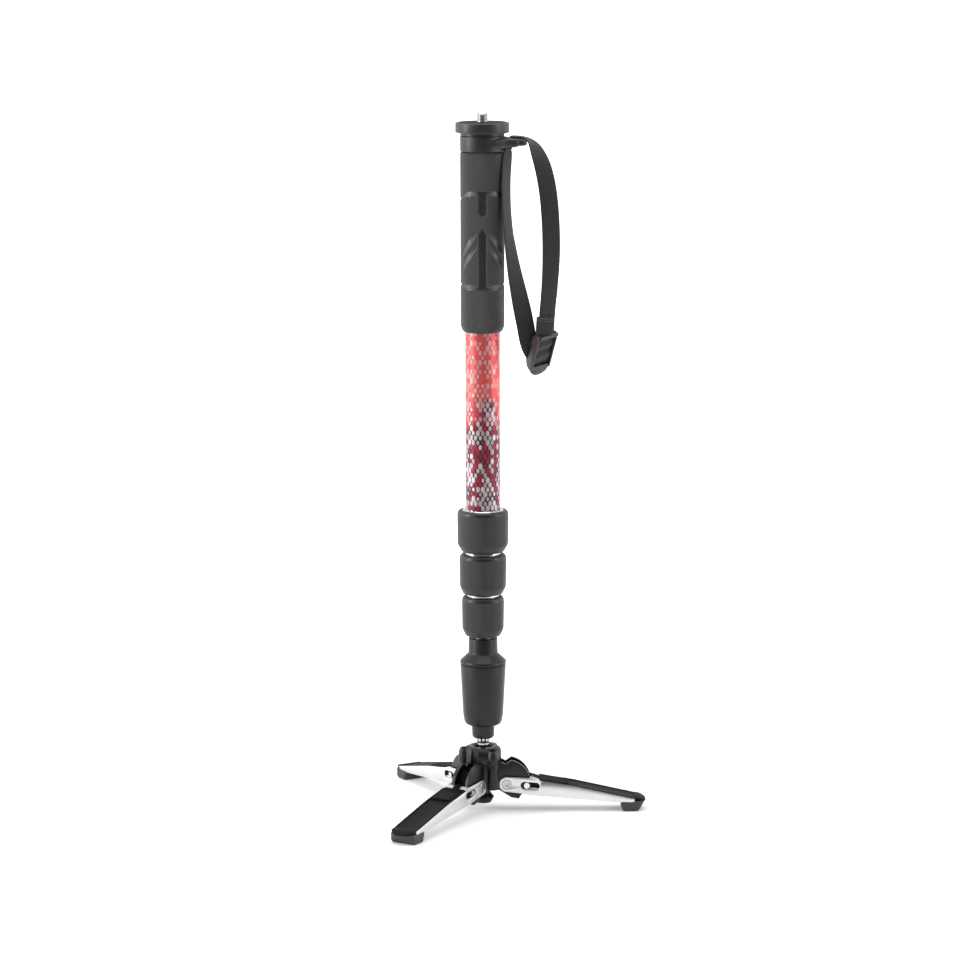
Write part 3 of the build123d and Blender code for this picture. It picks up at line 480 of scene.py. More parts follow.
def carve(shape, least, relief):
    """Moves the outer points of a turned shape in by a relief of angle and height in millimetres, and keeps for each
    point whether it is smooth and how much its colour is lightened as a painted highlight.
    """
    bare = shape.verts.layers.float.new("bare")
    painted_highlight = shape.verts.layers.float.new("painted_highlight")
    for vert in shape.verts:
        radius = math.hypot(vert.co.x, vert.co.y) / MM
        if radius < least:
            continue
        angle = math.atan2(vert.co.x, -vert.co.y)
        depth, smooth, pale = relief(angle, vert.co.z / MM, radius)
        share = (radius - depth) / radius
        vert.co.x *= share
        vert.co.y *= share
        vert[bare] = smooth
        vert[painted_highlight] = pale
    return shape


def turned_piece(name, node, body, material, corners, steps=COLUMN_STEPS, smooth=34):
    """A node's turned shape again, with its corners rounded."""
    return place_piece(turned(rounded(corners), steps), name, body, material, [node], smooth)


def socket_head(radius, low, high, key, depth):
    """A round screw head with a six-sided socket, upright."""
    floor = high - depth
    shape = turned(rounded([
        (0.01, low), (radius, low), (radius, high, 0.45), (key, high, 0.2), (key * 0.96, floor), (0.01, floor),
    ]), 48)
    for vert in shape.verts:
        reach = math.hypot(vert.co.x, vert.co.y) / MM
        if 0.3 < reach < key * 1.3 and vert.co.z / MM > floor - 0.01:
            turn = math.atan2(vert.co.y, vert.co.x) % (math.pi / 3) - math.pi / 6
            share = math.cos(math.pi / 6) / math.cos(turn)
            vert.co.x *= share
            vert.co.y *= share
    return shape


def joined(shapes):
    """Several bmeshes as one."""
    whole = bmesh.new()
    for shape in shapes:
        part = bpy.data.meshes.new("part")
        shape.to_mesh(part)
        shape.free()
        whole.from_mesh(part)
        bpy.data.meshes.remove(part)
    return whole


def moved(shape, matrix):
    bmesh.ops.transform(shape, matrix=matrix, verts=shape.verts)
    return shape


def shifted(x, y, z):
    return Matrix.Translation((x * MM, y * MM, z * MM))


def spun(degrees, axis="Z"):
    return Matrix.Rotation(math.radians(degrees), 4, axis)


def cad_copy(node):
    """A node's mesh with its triangles joined and its flat faces made whole."""
    shape = bmesh.new()
    shape.from_mesh(nodes[node].data)
    bmesh.ops.remove_doubles(shape, verts=shape.verts, dist=2e-6)
    bmesh.ops.dissolve_limit(
        shape, angle_limit=math.radians(0.8), use_dissolve_boundaries=False,
        verts=shape.verts, edges=shape.edges, delimit={"NORMAL"},
    )
    return shape


def softened(node, name, body, material, slot, width=0.3, segments=2, angle=28):
    """A node's own shape with its edges rounded."""
    shape = round_edges(cad_copy(node), width, angle, segments)
    return place_piece(shape, name, body, material, [node])


def dress(material, *names):
    """Gives CAD nodes that stay as they are their finish."""
    for name in names:
        mesh = nodes[name].data
        mesh.materials.clear()
        mesh.materials.append(material)


STRAP_WIDTH = 15.0
STRAP_THICKNESS = 1.3
STRAP_ROUTE = (
    (52.6, -3.4, 406.2),
    (52.7, -3.4, 408.0),
    (53.6, -3.2, 424.3),
    (55.6, -3.0, 444.3),
    (57.1, -2.6, 470.3),
    (56.7, -2.4, 498.3),
    (54.4, -2.0, 525.3),
    (50.4, -1.6, 544.8),
    (45.2, -1.0, 558.3),
    (40.6, -0.4, 565.9),
    (35.8, 0.0, 569.3),
    (30.4, 0.0, 570.2),
    (25.8, 0.0, 570.4),
    (23.3, 0.0, 570.1),
    (22.0, 0.0, 567.9),
    (21.9, -0.1, 563.8),
    (21.2, -1.0, 557.8),
    (20.0, -4.4, 547.3),
    (19.3, -7.4, 530.3),
    (20.0, -8.6, 506.3),
    (22.4, -8.2, 483.3),
    (26.2, -6.8, 459.3),
    (31.0, -4.6, 436.3),
    (35.4, -1.2, 415.3),
    (38.2, 3.4, 397.9),
    (41.6, 9.2, 390.2),
    (45.3, 13.8, 383.9),
)
STRAP_TURNS = (
    26, 26, 26, 20, 6, 2, 8, 22, 44, 68, 84, 90, 90, 90,
    90, 84, 64, 60, 61, 62, 60, 46, 28, 8, 12, 28, 36,
)


def smooth_line(points, samples=6):
    """Points read from a NURBS spline through a route's control points."""
    data = bpy.data.curves.new("route", "CURVE")
    data.dimensions = "3D"
    data.resolution_u = samples
    spline = data.splines.new("NURBS")
    spline.points.add(len(points) - 1)
    for point, place in zip(spline.points, points):
        point.co = (*(part * MM for part in place), 1)
    spline.order_u = 3
    spline.use_endpoint_u = True
    holder = bpy.data.objects.new("route", data)
    bpy.context.scene.collection.objects.link(holder)
    mesh = bpy.data.meshes.new_from_object(holder)
    line = [v.co.copy() for v in mesh.vertices]
    bpy.data.objects.remove(holder)
    bpy.data.curves.remove(data)
    bpy.data.meshes.remove(mesh)
    return line


def line_frames(line, turns):
    """For each point of a line: its place, the strap's width direction and its face direction."""
    frames = []
    last = len(line) - 1
    for index, point in enumerate(line):
        along = (line[min(index + 1, last)] - line[max(index - 1, 0)]).normalized()
        place = index / last * (len(turns) - 1)
        low = min(int(place), len(turns) - 2)
        turn = turns[low] + (turns[low + 1] - turns[low]) * (place - low)
        flat = Vector((math.cos(math.radians(turn)), math.sin(math.radians(turn)), 0))
        width = (flat - along * flat.dot(along)).normalized()
        frames.append((point, width, along.cross(width).normalized()))
    return frames


def skinned(rings, shape=None):
    """A closed form through rings of points, each ring extruded from the one before."""
    shape = shape or bmesh.new()
    ring = [shape.verts.new(point) for point in rings[0]]
    shape.faces.new(ring)
    placed = [ring]
    for points in rings[1:]:
        edges = [shape.edges.get((ring[i - 1], ring[i])) for i in range(len(ring))]
        grown = bmesh.ops.extrude_edge_only(shape, edges=edges)["geom"]
        fresh = {g for g in grown if isinstance(g, bmesh.types.BMVert)}
        ring = [next(e.other_vert(v) for e in v.link_edges if e.other_vert(v) in fresh) for v in ring]
        for vert, point in zip(ring, points):
            vert.co = point
        placed.append(ring)
    shape.faces.new(ring)
    bmesh.ops.recalc_face_normals(shape, faces=shape.faces)
    return shape, placed


def ribbon(frames, width, thickness):
    """A flat woven strip along frames, with thin rounded edges and its own measures."""
    half, thick = width / 2 * MM, thickness / 2 * MM
    edge = 0.9 * MM
    side = [(half - edge, thick), (half - edge * 0.3, thick * 0.7), (half, 0), (half - edge * 0.3, -thick * 0.7)]
    top = [(-half / 3, thick), (half / 3, thick)]
    outline = top + side + [(half - edge, -thick), (half / 3, -thick), (-half / 3, -thick)]
    outline += [(-half + edge, -thick)] + [(-a, b) for a, b in reversed(side)]
    shape = bmesh.new()
    along = shape.verts.layers.float.new("along")
    across = shape.verts.layers.float.new("across")
    rings = [[point + wide * a + face * b for a, b in outline] for point, wide, face in frames]
    shape, placed = skinned(rings, shape)
    travelled = 0.0
    for index, ring in enumerate(placed):
        if index:
            travelled += (frames[index][0] - frames[index - 1][0]).length
        for vert, (a, _) in zip(ring, outline):
            vert[across] = a / (2 * half) + 0.5
            vert[along] = travelled
    return shape, travelled


strap_line = smooth_line(STRAP_ROUTE)
strap_frames = line_frames(strap_line, STRAP_TURNS)
strap_shape, strap_length = ribbon(strap_frames, STRAP_WIDTH, STRAP_THICKNESS)
wrist_strap = place_piece(strap_shape, "wrist_strap_webbing", "strap_loop", webbing, ["wrist_strap"], smooth=60)


TAB_TOP = 0.4215
TAB_SHIFT = 2.2
TAB_TURN = -8.0
TAB_REACH = 3.0
STITCH_LENGTH = 1.7


def make_tab():
    """The strap's doubled end on the face of the outer run, down to the buckle's top bar."""
    low_part = [one for one in strap_frames if one[0].z < TAB_TOP and one[0].x > 0.048]
    tab = []
    for point, wide, face in low_part:
        turn = Matrix.Rotation(math.radians(TAB_TURN), 3, wide.cross(face))
        wide, face = turn @ wide, turn @ face
        tab.append((point - face * 1.42 * MM - wide * TAB_SHIFT * MM, wide, face))
    point, wide, face = tab[0]
    along = (tab[1][0] - point).normalized()
    tab.insert(0, (point - along * TAB_REACH * MM + face * TAB_REACH * 0.3 * MM, wide, face))
    shape, _ = ribbon(tab, STRAP_WIDTH, STRAP_THICKNESS)
    piece = place_piece(shape, "wrist_strap_tab", "strap_loop", webbing, smooth=60)
    stitches = bmesh.new()
    point, wide, face = tab[-1]
    along = wide.cross(face).normalized()
    if along.z < 0:
        along = -along
    turn = Matrix((wide, along, face)).transposed().to_4x4()
    size = Matrix.Diagonal((STITCH_LENGTH / 2 * MM, 0.3 * MM, 0.24 * MM, 1))
    for row in (1.6, 3.4):
        for step in range(-3, 4):
            spot = point - along * row * MM + wide * step * 2.0 * MM - face * 0.72 * MM
            bmesh.ops.create_uvsphere(
                stitches, u_segments=10, v_segments=6, radius=1.0, matrix=Matrix.Translation(spot) @ turn @ size,
            )
    seam = place_piece(stitches, "wrist_strap_seam", "strap_loop", thread_black, smooth=60)
    return piece, seam


BUCKLE_PLACE = (50.8, 5.0, 391.5)
BUCKLE_TURNS = ((12.7, "Y"), (30.0, "X"), (42.0, "Z"))
BUCKLE_HALF_WIDTH = 10.4
BUCKLE_TOP = 17.6
BUCKLE_FOOT = -18.6
BUCKLE_FRONT = -1.8
BUCKLE_BACK = 9.4
BUCKLE_BARS = ((16.6, -1.9, 2.8, 3.0), (4.7, 2.6, 2.2, 2.6), (-5.6, 2.6, 2.2, 2.6), (-16.8, 0.4, 3.4, 3.2))
buckle_matrix = shifted(*BUCKLE_PLACE)
for angle, axis in BUCKLE_TURNS:
    buckle_matrix = buckle_matrix @ spun(angle, axis)


def bar_between(left, right, depth, height, thick, tall):
    """A bar with well rounded edges, across the buckle."""
    shape = bmesh.new()
    size = Matrix.Diagonal(((right - left) * MM, thick * MM, tall * MM, 1))
    bmesh.ops.create_cube(shape, size=1.0, matrix=shifted((left + right) / 2, depth, height) @ size)
    long_edges = [e for e in shape.edges if abs(e.verts[0].co.x - e.verts[1].co.x) > MM]
    bmesh.ops.bevel(
        shape, geom=long_edges, offset=min(thick, tall) * 0.36 * MM, offset_type="OFFSET", affect="EDGES",
        segments=4, profile=0.5, material=-1,
    )
    return shape


def buckle_side(low, high):
    """A side plate whose back is a long curve."""
    middle, half = (BUCKLE_TOP + BUCKLE_FOOT) / 2, (BUCKLE_TOP - BUCKLE_FOOT) / 2
    outline = [(BUCKLE_FRONT, middle - half), (BUCKLE_FRONT, middle + half)]
    for step in range(1, 14):
        turn = math.pi * step / 14
        outline.append((BUCKLE_BACK * math.sin(turn) ** 0.8, middle + half * math.cos(turn)))
    shape, _ = skinned([[Vector((x, y, z)) * MM for y, z in outline] for x in (low, high)])
    return round_edges(shape, 0.7, 28, 3)


def make_buckle():
    """A ladder buckle: two curved side plates, four bars and a rounded lip to pull."""
    inner = BUCKLE_HALF_WIDTH - 2.0
    parts = [buckle_side(-BUCKLE_HALF_WIDTH, -inner), buckle_side(inner, BUCKLE_HALF_WIDTH)]
    for height, depth, thick, tall in BUCKLE_BARS:
        parts.append(bar_between(-inner - 0.6, inner + 0.6, depth, height, thick, tall))
    lip = [(9.4 * math.cos(math.pi * step / 16), -17.4 - 8.0 * math.sin(math.pi * step / 16)) for step in range(17)]
    tongue, _ = skinned([[Vector((x, y, z)) * MM for x, z in lip] for y in (-1.2, 1.8)])
    parts.append(round_edges(tongue, 0.8, 28, 3))
    shape = moved(joined(parts), buckle_matrix)
    return place_piece(shape, "strap_buckle_frame", "strap_loop", buckle_plastic, ["strap_buckle"], 40)


def make_weave_strip():
    """The strap's run through the buckle: behind the end bars and over the two middle ones."""
    line = smooth_line([
        (-1.0, 1.2, 17.0), (-0.4, 2.2, 12.6), (0, 1.4, 9.0), (0, 0.3, 6.4), (0, 0.2, 4.4), (0, 2.2, 0.6), (0, 2.2, -1.0),
        (0, 0.2, -4.8), (0, 0.4, -7.2), (0, 1.4, -10.4), (0, 2.2, -13.2), (0, 2.6, -17.6),
    ])
    frames = []
    for index, point in enumerate(line):
        way = (line[min(index + 1, len(line) - 1)] - line[max(index - 1, 0)]).normalized()
        frames.append((point, Vector((1, 0, 0)), way.cross(Vector((1, 0, 0))).normalized()))
    shape, _ = ribbon(frames, 2 * BUCKLE_HALF_WIDTH - 4.4, STRAP_THICKNESS)
    return place_piece(moved(shape, buckle_matrix), "wrist_strap_weave", "strap_loop", webbing, smooth=60)


strap_tab, strap_seam = make_tab()
strap_buckle = make_buckle()
strap_weave = make_weave_strip()


dress(printed_tube, "tube_1")
dress(tube_alloy, "tube_2", "tube_3", "tube_4", "damper_rotor", "head_plug")
dress(bright_steel, "ball_stem", "shaft_nut", "lower_bearing", "upper_bearing")
dress(bright_steel, "lock_sleeve_1")
dress(nylon, "ball_liner", "lock_collet_1", "lock_collet_2", "lock_collet_3")
dress(nylon, "guide_bush_2", "guide_bush_3", "guide_bush_4")
dress(pad_rubber, "fluid_seal")

# Camera screw: a 3/8 inch stud with 16 threads to the inch
SCREW_RADIUS = 4.7625
SCREW_CORE = 4.0
SCREW_PITCH = 25.4 / 16
SCREW_FOOT = 582.6
SCREW_TOP = 589.6
SHANK_RADIUS = 4.3
SHANK_FOOT = 557.4


def make_camera_screw():
    wall = rise_in_steps([(SCREW_RADIUS, SCREW_FOOT), (SCREW_RADIUS, SCREW_TOP - 0.7)], SCREW_PITCH / 12)
    shape = turned(
        [(0.01, SHANK_FOOT), (SHANK_RADIUS, SHANK_FOOT), (SHANK_RADIUS, SCREW_FOOT)] + wall
        + [(SCREW_RADIUS - 0.8, SCREW_TOP - 0.1), (SCREW_RADIUS - 1.2, SCREW_TOP), (0.01, SCREW_TOP)], 72,
    )

    def thread(angle, height, radius):
        turns = height / SCREW_PITCH + angle / (2 * math.pi)
        wave = abs(2 * (turns - math.floor(turns)) - 1)
        flat = min(max(wave * 1.3 - 0.15, 0.0), 1.0)
        ends = within(height - (SCREW_FOOT + SCREW_TOP) / 2, (SCREW_TOP - SCREW_FOOT) / 2 - 0.9, 0.4)
        return (SCREW_RADIUS - SCREW_CORE) * flat * ends, 0.0, 0.0

    carve(shape, SCREW_RADIUS - 0.01, thread)
    return place_piece(
        shape, "camera_screw_thread", "head", screw_steel, ["camera_screw"], smooth=50,
    )


make_camera_screw()

# Camera plate and its rubber pad with moulded rings
PLATE_NECK_BASE = 571.4
PLATE_BASE = 573.6
PLATE_TOP = 582.1
PLATE_RADIUS = 22.42
turned_piece("camera_plate", "top_plate", "head", coated_alloy, [
    (4.3, PLATE_NECK_BASE), (18.35, PLATE_NECK_BASE), (18.35, PLATE_BASE, 0.3), (PLATE_RADIUS, PLATE_BASE, 1.3),
    (PLATE_RADIUS, PLATE_TOP, 1.7), (20.22, PLATE_TOP, 0.2), (20.22, PLATE_TOP - 0.5), (4.3, PLATE_TOP - 0.5),
])
PAD_TOP = 582.4
pad_line = [(4.87, PAD_TOP - 0.8), (20.2, PAD_TOP - 0.8), (20.2, PAD_TOP, 0.25)]
for rib in range(7):
    outer = 19.2 - rib * 2.0
    pad_line += [(outer, PAD_TOP), (outer - 0.25, PAD_TOP - 0.3), (outer - 0.75, PAD_TOP - 0.3), (outer - 1.0, PAD_TOP)]
pad_line += [(4.87, PAD_TOP, 0.25)]
turned_piece("camera_pad", "top_pad", "head", pad_rubber, pad_line)

# Grip: knurled rubber with grooves, a slot, a channel and pairs of smooth slanting bands; the bands, lens patches
# beside the grooves and a rim round the slot are lightened as painted highlights
GRIP_RADIUS = 18.4
GRIP_STEPS = 240
GROOVE_DEPTH = 0.75
PATCH_DEPTH = 0.4


def to_band(across, height, start, end):
    """The distance from a straight band's middle line, both in unrolled millimetres."""
    line = Vector(end) - Vector(start)
    offset = Vector((across, height)) - Vector(start)
    share = min(max(offset.dot(line) / line.length_squared, 0.0), 1.0)
    return (offset - line * share).length


def grip_relief(angle, height, radius):
    across = abs(angle) * GRIP_RADIUS
    front = smooth_step(0.1, 0.85, math.cos(angle))
    upper = height - (519.2 + 6.7 * front)
    lower = height - (448.2 - 2.9 * front)
    depth = GROOVE_DEPTH * max(within(upper, 0.5, 0.6), within(lower, 0.5, 0.6))
    bare = max(within(upper, 1.0, 0.5), within(lower, 1.0, 0.5))
    swell = max(0.0, 1 - ((across - 12.5) / 7.0) ** 2)
    lens = max(within(upper + 1.8, 1.9 * swell, 0.3), within(lower - 1.8, 1.9 * swell, 0.3)) if swell > 0.05 else 0.0
    slot_low = max(0.0, 509.2 - height)
    slot = within(math.hypot(across, slot_low), 3.3, 0.5) * (upper < 0) * (slot_low < 6)
    strip = within(math.hypot(across, slot_low), 1.5, 0.4) * (upper < 0) * (slot_low < 6)
    tip = min(max((496.0 - height) / 5.0, 0.0), 1.0)
    channel = within(across, 3.1 * tip, 0.5) * (lower > 0) * (tip > 0)
    swell = max(0.0, 1 - ((across - 13.5) / 9.0) ** 2)
    bands = max(
        within(to_band(across, height, (6.0, 491.0), (21.8, 472.0)), 0.5 + 1.7 * swell, 0.5),
        within(to_band(across, height, (5.0, 480.5), (19.5, 463.6)), 0.5 + 1.4 * swell, 0.5),
    )
    rim = within(math.hypot(across, slot_low) - 3.9, 0.2, 0.25) * (upper < -1) * (slot_low < 6)
    depth = max(depth, PATCH_DEPTH * max(lens, bands), PATCH_DEPTH * slot + 0.3 * strip, 0.5 * channel)
    # The third value lightens the lens patches beside the grooves, the slanting bands and the rim round the slot:
    # painted highlights.
    return depth, max(bare, lens, slot, channel, bands), max(lens, 0.7 * bands * (1 - channel), 0.4 * rim)


def make_grip():
    wall = rise_in_steps([
        (15.7, 408.6), (17.0, 410.4), (17.9, 412.6), (18.2, 415.0), (18.45, 556.6), (17.9, 557.6), (17.2, 558.0),
    ], 0.72)
    shape = turned([(14.6, 408.5), (15.2, 408.5)] + wall + [(14.6, 558.0)], GRIP_STEPS)
    carve(shape, 18.0, grip_relief)
    return place_piece(shape, "hand_grip", "head", grip_rubber, ["grip"], smooth=60)


make_grip()

# Twist-lock collars: knurled, with soft facets between a rounded crown and a chamfered foot
COLLARS = (
    (221.5, 36.7, 21.6, 17.7, 14.6, 12.9), (185.5, 35.1, 19.8, 16.7, 12.4, 10.7), (149.5, 35.1, 17.85, 14.7, 10.2, 8.5),
)
COLLAR_FACETS = 12
COLLAR_RISE = 1.2


def make_collar(number, base, height, crown, foot, tube, lip):
    top = base + height
    thread = tube + 2.9
    under = base + COLLAR_RISE
    wall = rise_in_steps(rounded([
        (lip, under), (foot, under, 1.2), (crown - 0.35, base + 7.3, 1.8), (crown, top - 3.9, 0.8),
        (crown - 0.35, top - 1.5, 1.0), (crown - 1.7, top, 0.8), (thread, top),
    ])[1:-1], 1.2)
    shape = turned(
        [(lip, under)] + wall + [(thread, top), (thread, base + 13.3), (tube + 2.6, base + 2.9), (lip, base + 2.9)], 144,
    )
    facet = 2 * math.pi / COLLAR_FACETS

    def facets(angle, z, radius):
        turn = (angle % facet) - facet / 2
        flat = radius * (1 - math.cos(facet / 2) / math.cos(turn))
        body = smooth_step(base + 5.5, base + 8.5, z) * (1 - smooth_step(top - 4.6, top - 3.0, z))
        smooth = max(1 - smooth_step(base + 6.4, base + 7.4, z), smooth_step(top - 4.0, top - 3.2, z))
        return flat * 0.32 * body, smooth, 0.0

    carve(shape, foot, facets)
    return place_piece(
        shape, f"twist_collar_{number}", f"collar_{number}", collar_rubber,
        [f"lock_collar_{number}"], smooth=50,
    )


for number, measures in enumerate(COLLARS, 1):
    make_collar(number, *measures)

# The polished rims of the two lower sleeves show as bright lines between the collars
for number, body, base, top, tube, flange in (
    (2, "section_2", 199.1, 220.6, 12.4, 15.2), (3, "section_3", 163.1, 184.6, 10.2, 13.9),
):
    turned_piece(f"polished_sleeve_{number}", f"lock_sleeve_{number}", body, bright_steel, [
        (tube, base), (tube + 2.8, base), (tube + 2.8, top + 0.02), (flange, top + 0.02, 0.12), (flange, top + 2.0, 0.2),
        (tube, top + 2.0),
    ], 128)

# Fluid cartridge
turned_piece("cartridge_cap", "fluid_cap", "cartridge", satin_plastic, [
    (8.0, 119.1), (16.67, 119.1), (16.67, 126.7), (19.45, 126.7, 0.3), (19.45, 129.2, 0.9), (12.5, 135.7, 0.8),
    (12.15, 148.6, 0.5), (8.0, 148.6), (8.0, 132.2), (0.01, 132.2), (0.01, 129.6), (6.5, 129.6), (6.5, 124.1), (8.0, 124.1),
])
turned_piece("cartridge_housing", "fluid_housing", "cartridge", satin_plastic, [
    (4.1, 74.0), (13.4, 74.0, 0.8), (15.6, 75.6, 1.4), (16.95, 82.6, 1.0), (19.27, 126.1, 0.5), (16.67, 126.1),
    (16.67, 119.1), (14.35, 84.0), (8.0, 84.0), (8.0, 75.8), (4.1, 75.8),
])
turned_piece("shaft_boot_sleeve", "shaft_boot", "cartridge", satin_plastic, [
    (6.4, 62.3), (8.0, 62.3, 0.7), (9.2, 63.6, 0.8), (9.4, 65.2, 0.8), (9.65, 74.0), (4.1, 74.0), (4.1, 65.7), (6.4, 65.7),
])

# Strap ring, hub and legs
RING_BASE = 558.3
RING_TOP = 571.1
LUG_STATIONS = (
    (-3.0, 17.9, 0.7, 12.1), (3.0, 17.9, 0.9, 12.0), (8.0, 17.2, 1.3, 12.0), (13.0, 15.4, 1.9, 12.0), (18.0, 13.0, 2.7, 11.9),
    (23.0, 11.0, 3.1, 11.6), (26.5, 10.6, 3.2, 11.3), (28.6, 10.4, 3.6, 11.2), (30.4, 8.9, 4.4, 11.0), (32.4, 9.8, 4.4, 10.9),
    (35.0, 9.2, 4.6, 10.4), (36.8, 7.6, 5.6, 9.0),
)
LUG_POINTS = 28


def make_ring():
    """The ring round the tube and its lug, with a rim round the strap's slot."""
    band = turned(rounded([
        (14.7, RING_BASE), (18.5, RING_BASE, 0.9), (18.5, RING_TOP, 0.9), (14.7, RING_TOP),
    ]))
    rings = []
    for x, half, low, high in LUG_STATIONS:
        middle, rise = RING_BASE + (low + high) / 2, (high - low) / 2
        ring = []
        for step in range(LUG_POINTS):
            turn = 2 * math.pi * step / LUG_POINTS
            c, z = math.cos(turn), math.sin(turn)
            ring.append(Vector((
                x, half * math.copysign(abs(c) ** 0.45, c), middle + rise * math.copysign(abs(z) ** 0.45, z),
            )) * MM)
        rings.append(ring)
    lug, _ = skinned(rings)
    parts = [band, lug]
    for height in (RING_BASE + 10.9, RING_BASE + 2.9):
        for x, y, wide, deep in ((19.9, 0, 0.9, 17.6), (24.2, 0, 0.9, 17.6), (22.05, 8.4, 5.2, 0.9), (22.05, -8.4, 5.2, 0.9)):
            rim = bmesh.new()
            size = Matrix.Diagonal((wide * MM, deep * MM, 1.1 * MM, 1))
            bmesh.ops.create_cube(rim, size=1.0, matrix=shifted(x, y, height) @ size)
            parts.append(round_edges(rim, 0.3, 28, 2))
    return place_piece(joined(parts), "strap_ring_body", "strap_loop", ring_plastic, ["strap_ring"], 50)


make_ring()
PIVOT_REACH = 19.9
PIVOT_HEIGHT = 23.8
CAP_SEAM = 43.3
CAP_CROWN = 57.8
SHOWN_SEAM = 41.9
SHOWN_CROWN = 55.3


def make_hub():
    """The hub's two mouldings, with the seam and the crown as low as they look."""
    body = cad_copy("hub_body")
    for vert in body.verts:
        if abs(vert.co.z - CAP_SEAM * MM) < 0.05 * MM and vert.co.xy.length < 21.5 * MM:
            vert.co.z = SHOWN_SEAM * MM
    # Faces deep in the groove between each leg's ears get the near-black finish: painted shade.
    for number in (1, 2, 3):
        back = (spun(120 * (number - 1)) @ shifted(PIVOT_REACH, 0, PIVOT_HEIGHT)).inverted()
        for face in body.faces:
            spot = back @ face.calc_center_median() / MM
            if abs(spot.y) < 5.2 and -6.6 < spot.x < 20.0 and spot.z > -9.0:
                face.material_index = 1
    round_edges(body, 0.7, 30, 3)
    place_piece(body, "hub_body_moulding", "hub", [hub_plastic, groove_shade_plastic], ["hub_body"])
    cap = cad_copy("hub_cap")
    for vert in cap.verts:
        share = (vert.co.z / MM - CAP_SEAM) / (CAP_CROWN - CAP_SEAM)
        vert.co.z = (SHOWN_SEAM + share * (SHOWN_CROWN - SHOWN_SEAM)) * MM
    round_edges(cap, 0.8, 24, 4)
    place_piece(cap, "hub_cap_moulding", "hub", hub_plastic, ["hub_cap"])


make_hub()

LEG_SLOPE = 3.7
LEG_CREST_REACH = 26.4
LEG_CREST = 6.7
LEG_FALL = 12.6 / 82.6
BED_START, BED_END = 28.0, 61.0
PAD_HEIGHT = 1.05
RIDGE_HEIGHT = 1.45
ARCH_DEPTH = 1.5
SLOT_TOP = 3.1
LATCH_DIP = 1.5
SHOE_CUT = 2.0
SHOE_SOFTENING = 5


def dress_leg(number, leg, slider):
    """One leg's mouldings and sheet, worked on in the leg's own frame with X outward."""
    place = spun(120 * (number - 1)) @ shifted(PIVOT_REACH, 0, PIVOT_HEIGHT) @ spun(LEG_SLOPE, "Y")
    back = place.inverted()

    def crest(reach):
        return LEG_CREST - (reach - LEG_CREST_REACH) * LEG_FALL

    def sliced(shape, axis, start, end, step):
        """Cuts a shape across one of the leg's own directions, so that it can bend."""
        way = place.to_3x3() @ Vector([1.0 if part == axis else 0.0 for part in range(3)])
        cut = start
        while cut < end:
            spot = place @ (Vector([cut if part == axis else 0.0 for part in range(3)]) * MM)
            bmesh.ops.bisect_plane(
                shape, geom=shape.verts[:] + shape.edges[:] + shape.faces[:], dist=1e-7, plane_co=spot, plane_no=way,
            )
            cut += step
        return shape

    def arched(shape, lag=0.0):
        """Draws the top down a little at the leg's inner end, but not the slot where the studs run."""
        sliced(shape, 0, 22.0, 120.0, 4.0)
        for vert in shape.verts:
            spot = back @ vert.co / MM
            if spot.x < 20:
                continue
            start = (1 - smooth_step(26, 62, spot.x)) * smooth_step(20 + lag, 27 + lag, spot.x)
            slot_top = SLOT_TOP * (1 - smooth_step(28, 34, spot.x))
            share = (spot.z - slot_top) / max(crest(spot.x) - slot_top, 0.5)
            drop = ARCH_DEPTH * start * min(max(share, 0.0), 1.0)
            vert.co = place @ (Vector((spot.x, spot.y, spot.z - drop)) * MM)
        return shape

    channel = arched(round_edges(cad_copy(f"leg_{number}_channel"), 0.25))
    up = place.to_3x3() @ Vector((LEG_FALL, 0, 1)).normalized()
    for face in channel.faces:
        spot = back @ face.calc_center_median() / MM
        if face.normal.dot(up) > 0.9 and BED_START < spot.x < BED_END and abs(spot.y) < 9.7 and spot.z > crest(spot.x) - 2.4:
            face.material_index = 1
    place_piece(
        channel, f"leg_{number}_channel_sheet", leg, [satin_alloy, cover_plastic],
        [f"leg_{number}_channel"],
    )
    cover = arched(round_edges(cad_copy(f"leg_{number}_cover"), 0.35, 28, 3))
    place_piece(cover, f"leg_{number}_cover_moulding", leg, cover_plastic, [f"leg_{number}_cover"])
    pad = cad_copy(f"leg_{number}_slider")
    for vert in pad.verts:
        spot = back @ vert.co / MM
        over = spot.z - crest(spot.x)
        limit = RIDGE_HEIGHT if spot.x > 49.6 else PAD_HEIGHT
        if spot.x > 26.5 and over > limit:
            vert.co = place @ (Vector((spot.x, spot.y, crest(spot.x) + limit)) * MM)
    # The slider's inner end, inside the hub, gets the same near-black finish: painted shade.
    for face in pad.faces:
        if (back @ face.calc_center_median()).x < 25 * MM:
            face.material_index = 1
    arched(round_edges(pad, 0.25), LATCH_DIP)
    place_piece(
        pad, f"leg_{number}_slider_moulding", slider, [slider_plastic, groove_shade_plastic],
        [f"leg_{number}_slider"],
    )
    shoe = cad_copy(f"leg_{number}_shoe")
    for axis, start, end in ((0, 80.0, 124.0), (1, -14.0, 14.0), (2, -30.0, 4.0)):
        sliced(shoe, axis, start, end, SHOE_CUT)
    for _ in range(SHOE_SOFTENING):
        bmesh.ops.smooth_vert(
            shoe, verts=shoe.verts, factor=0.5, use_axis_x=True, use_axis_y=True, use_axis_z=True,
        )
    place_piece(
        arched(shoe), f"leg_{number}_shoe_rubber", leg, shoe_rubber, [f"leg_{number}_shoe"], smooth=50,
    )


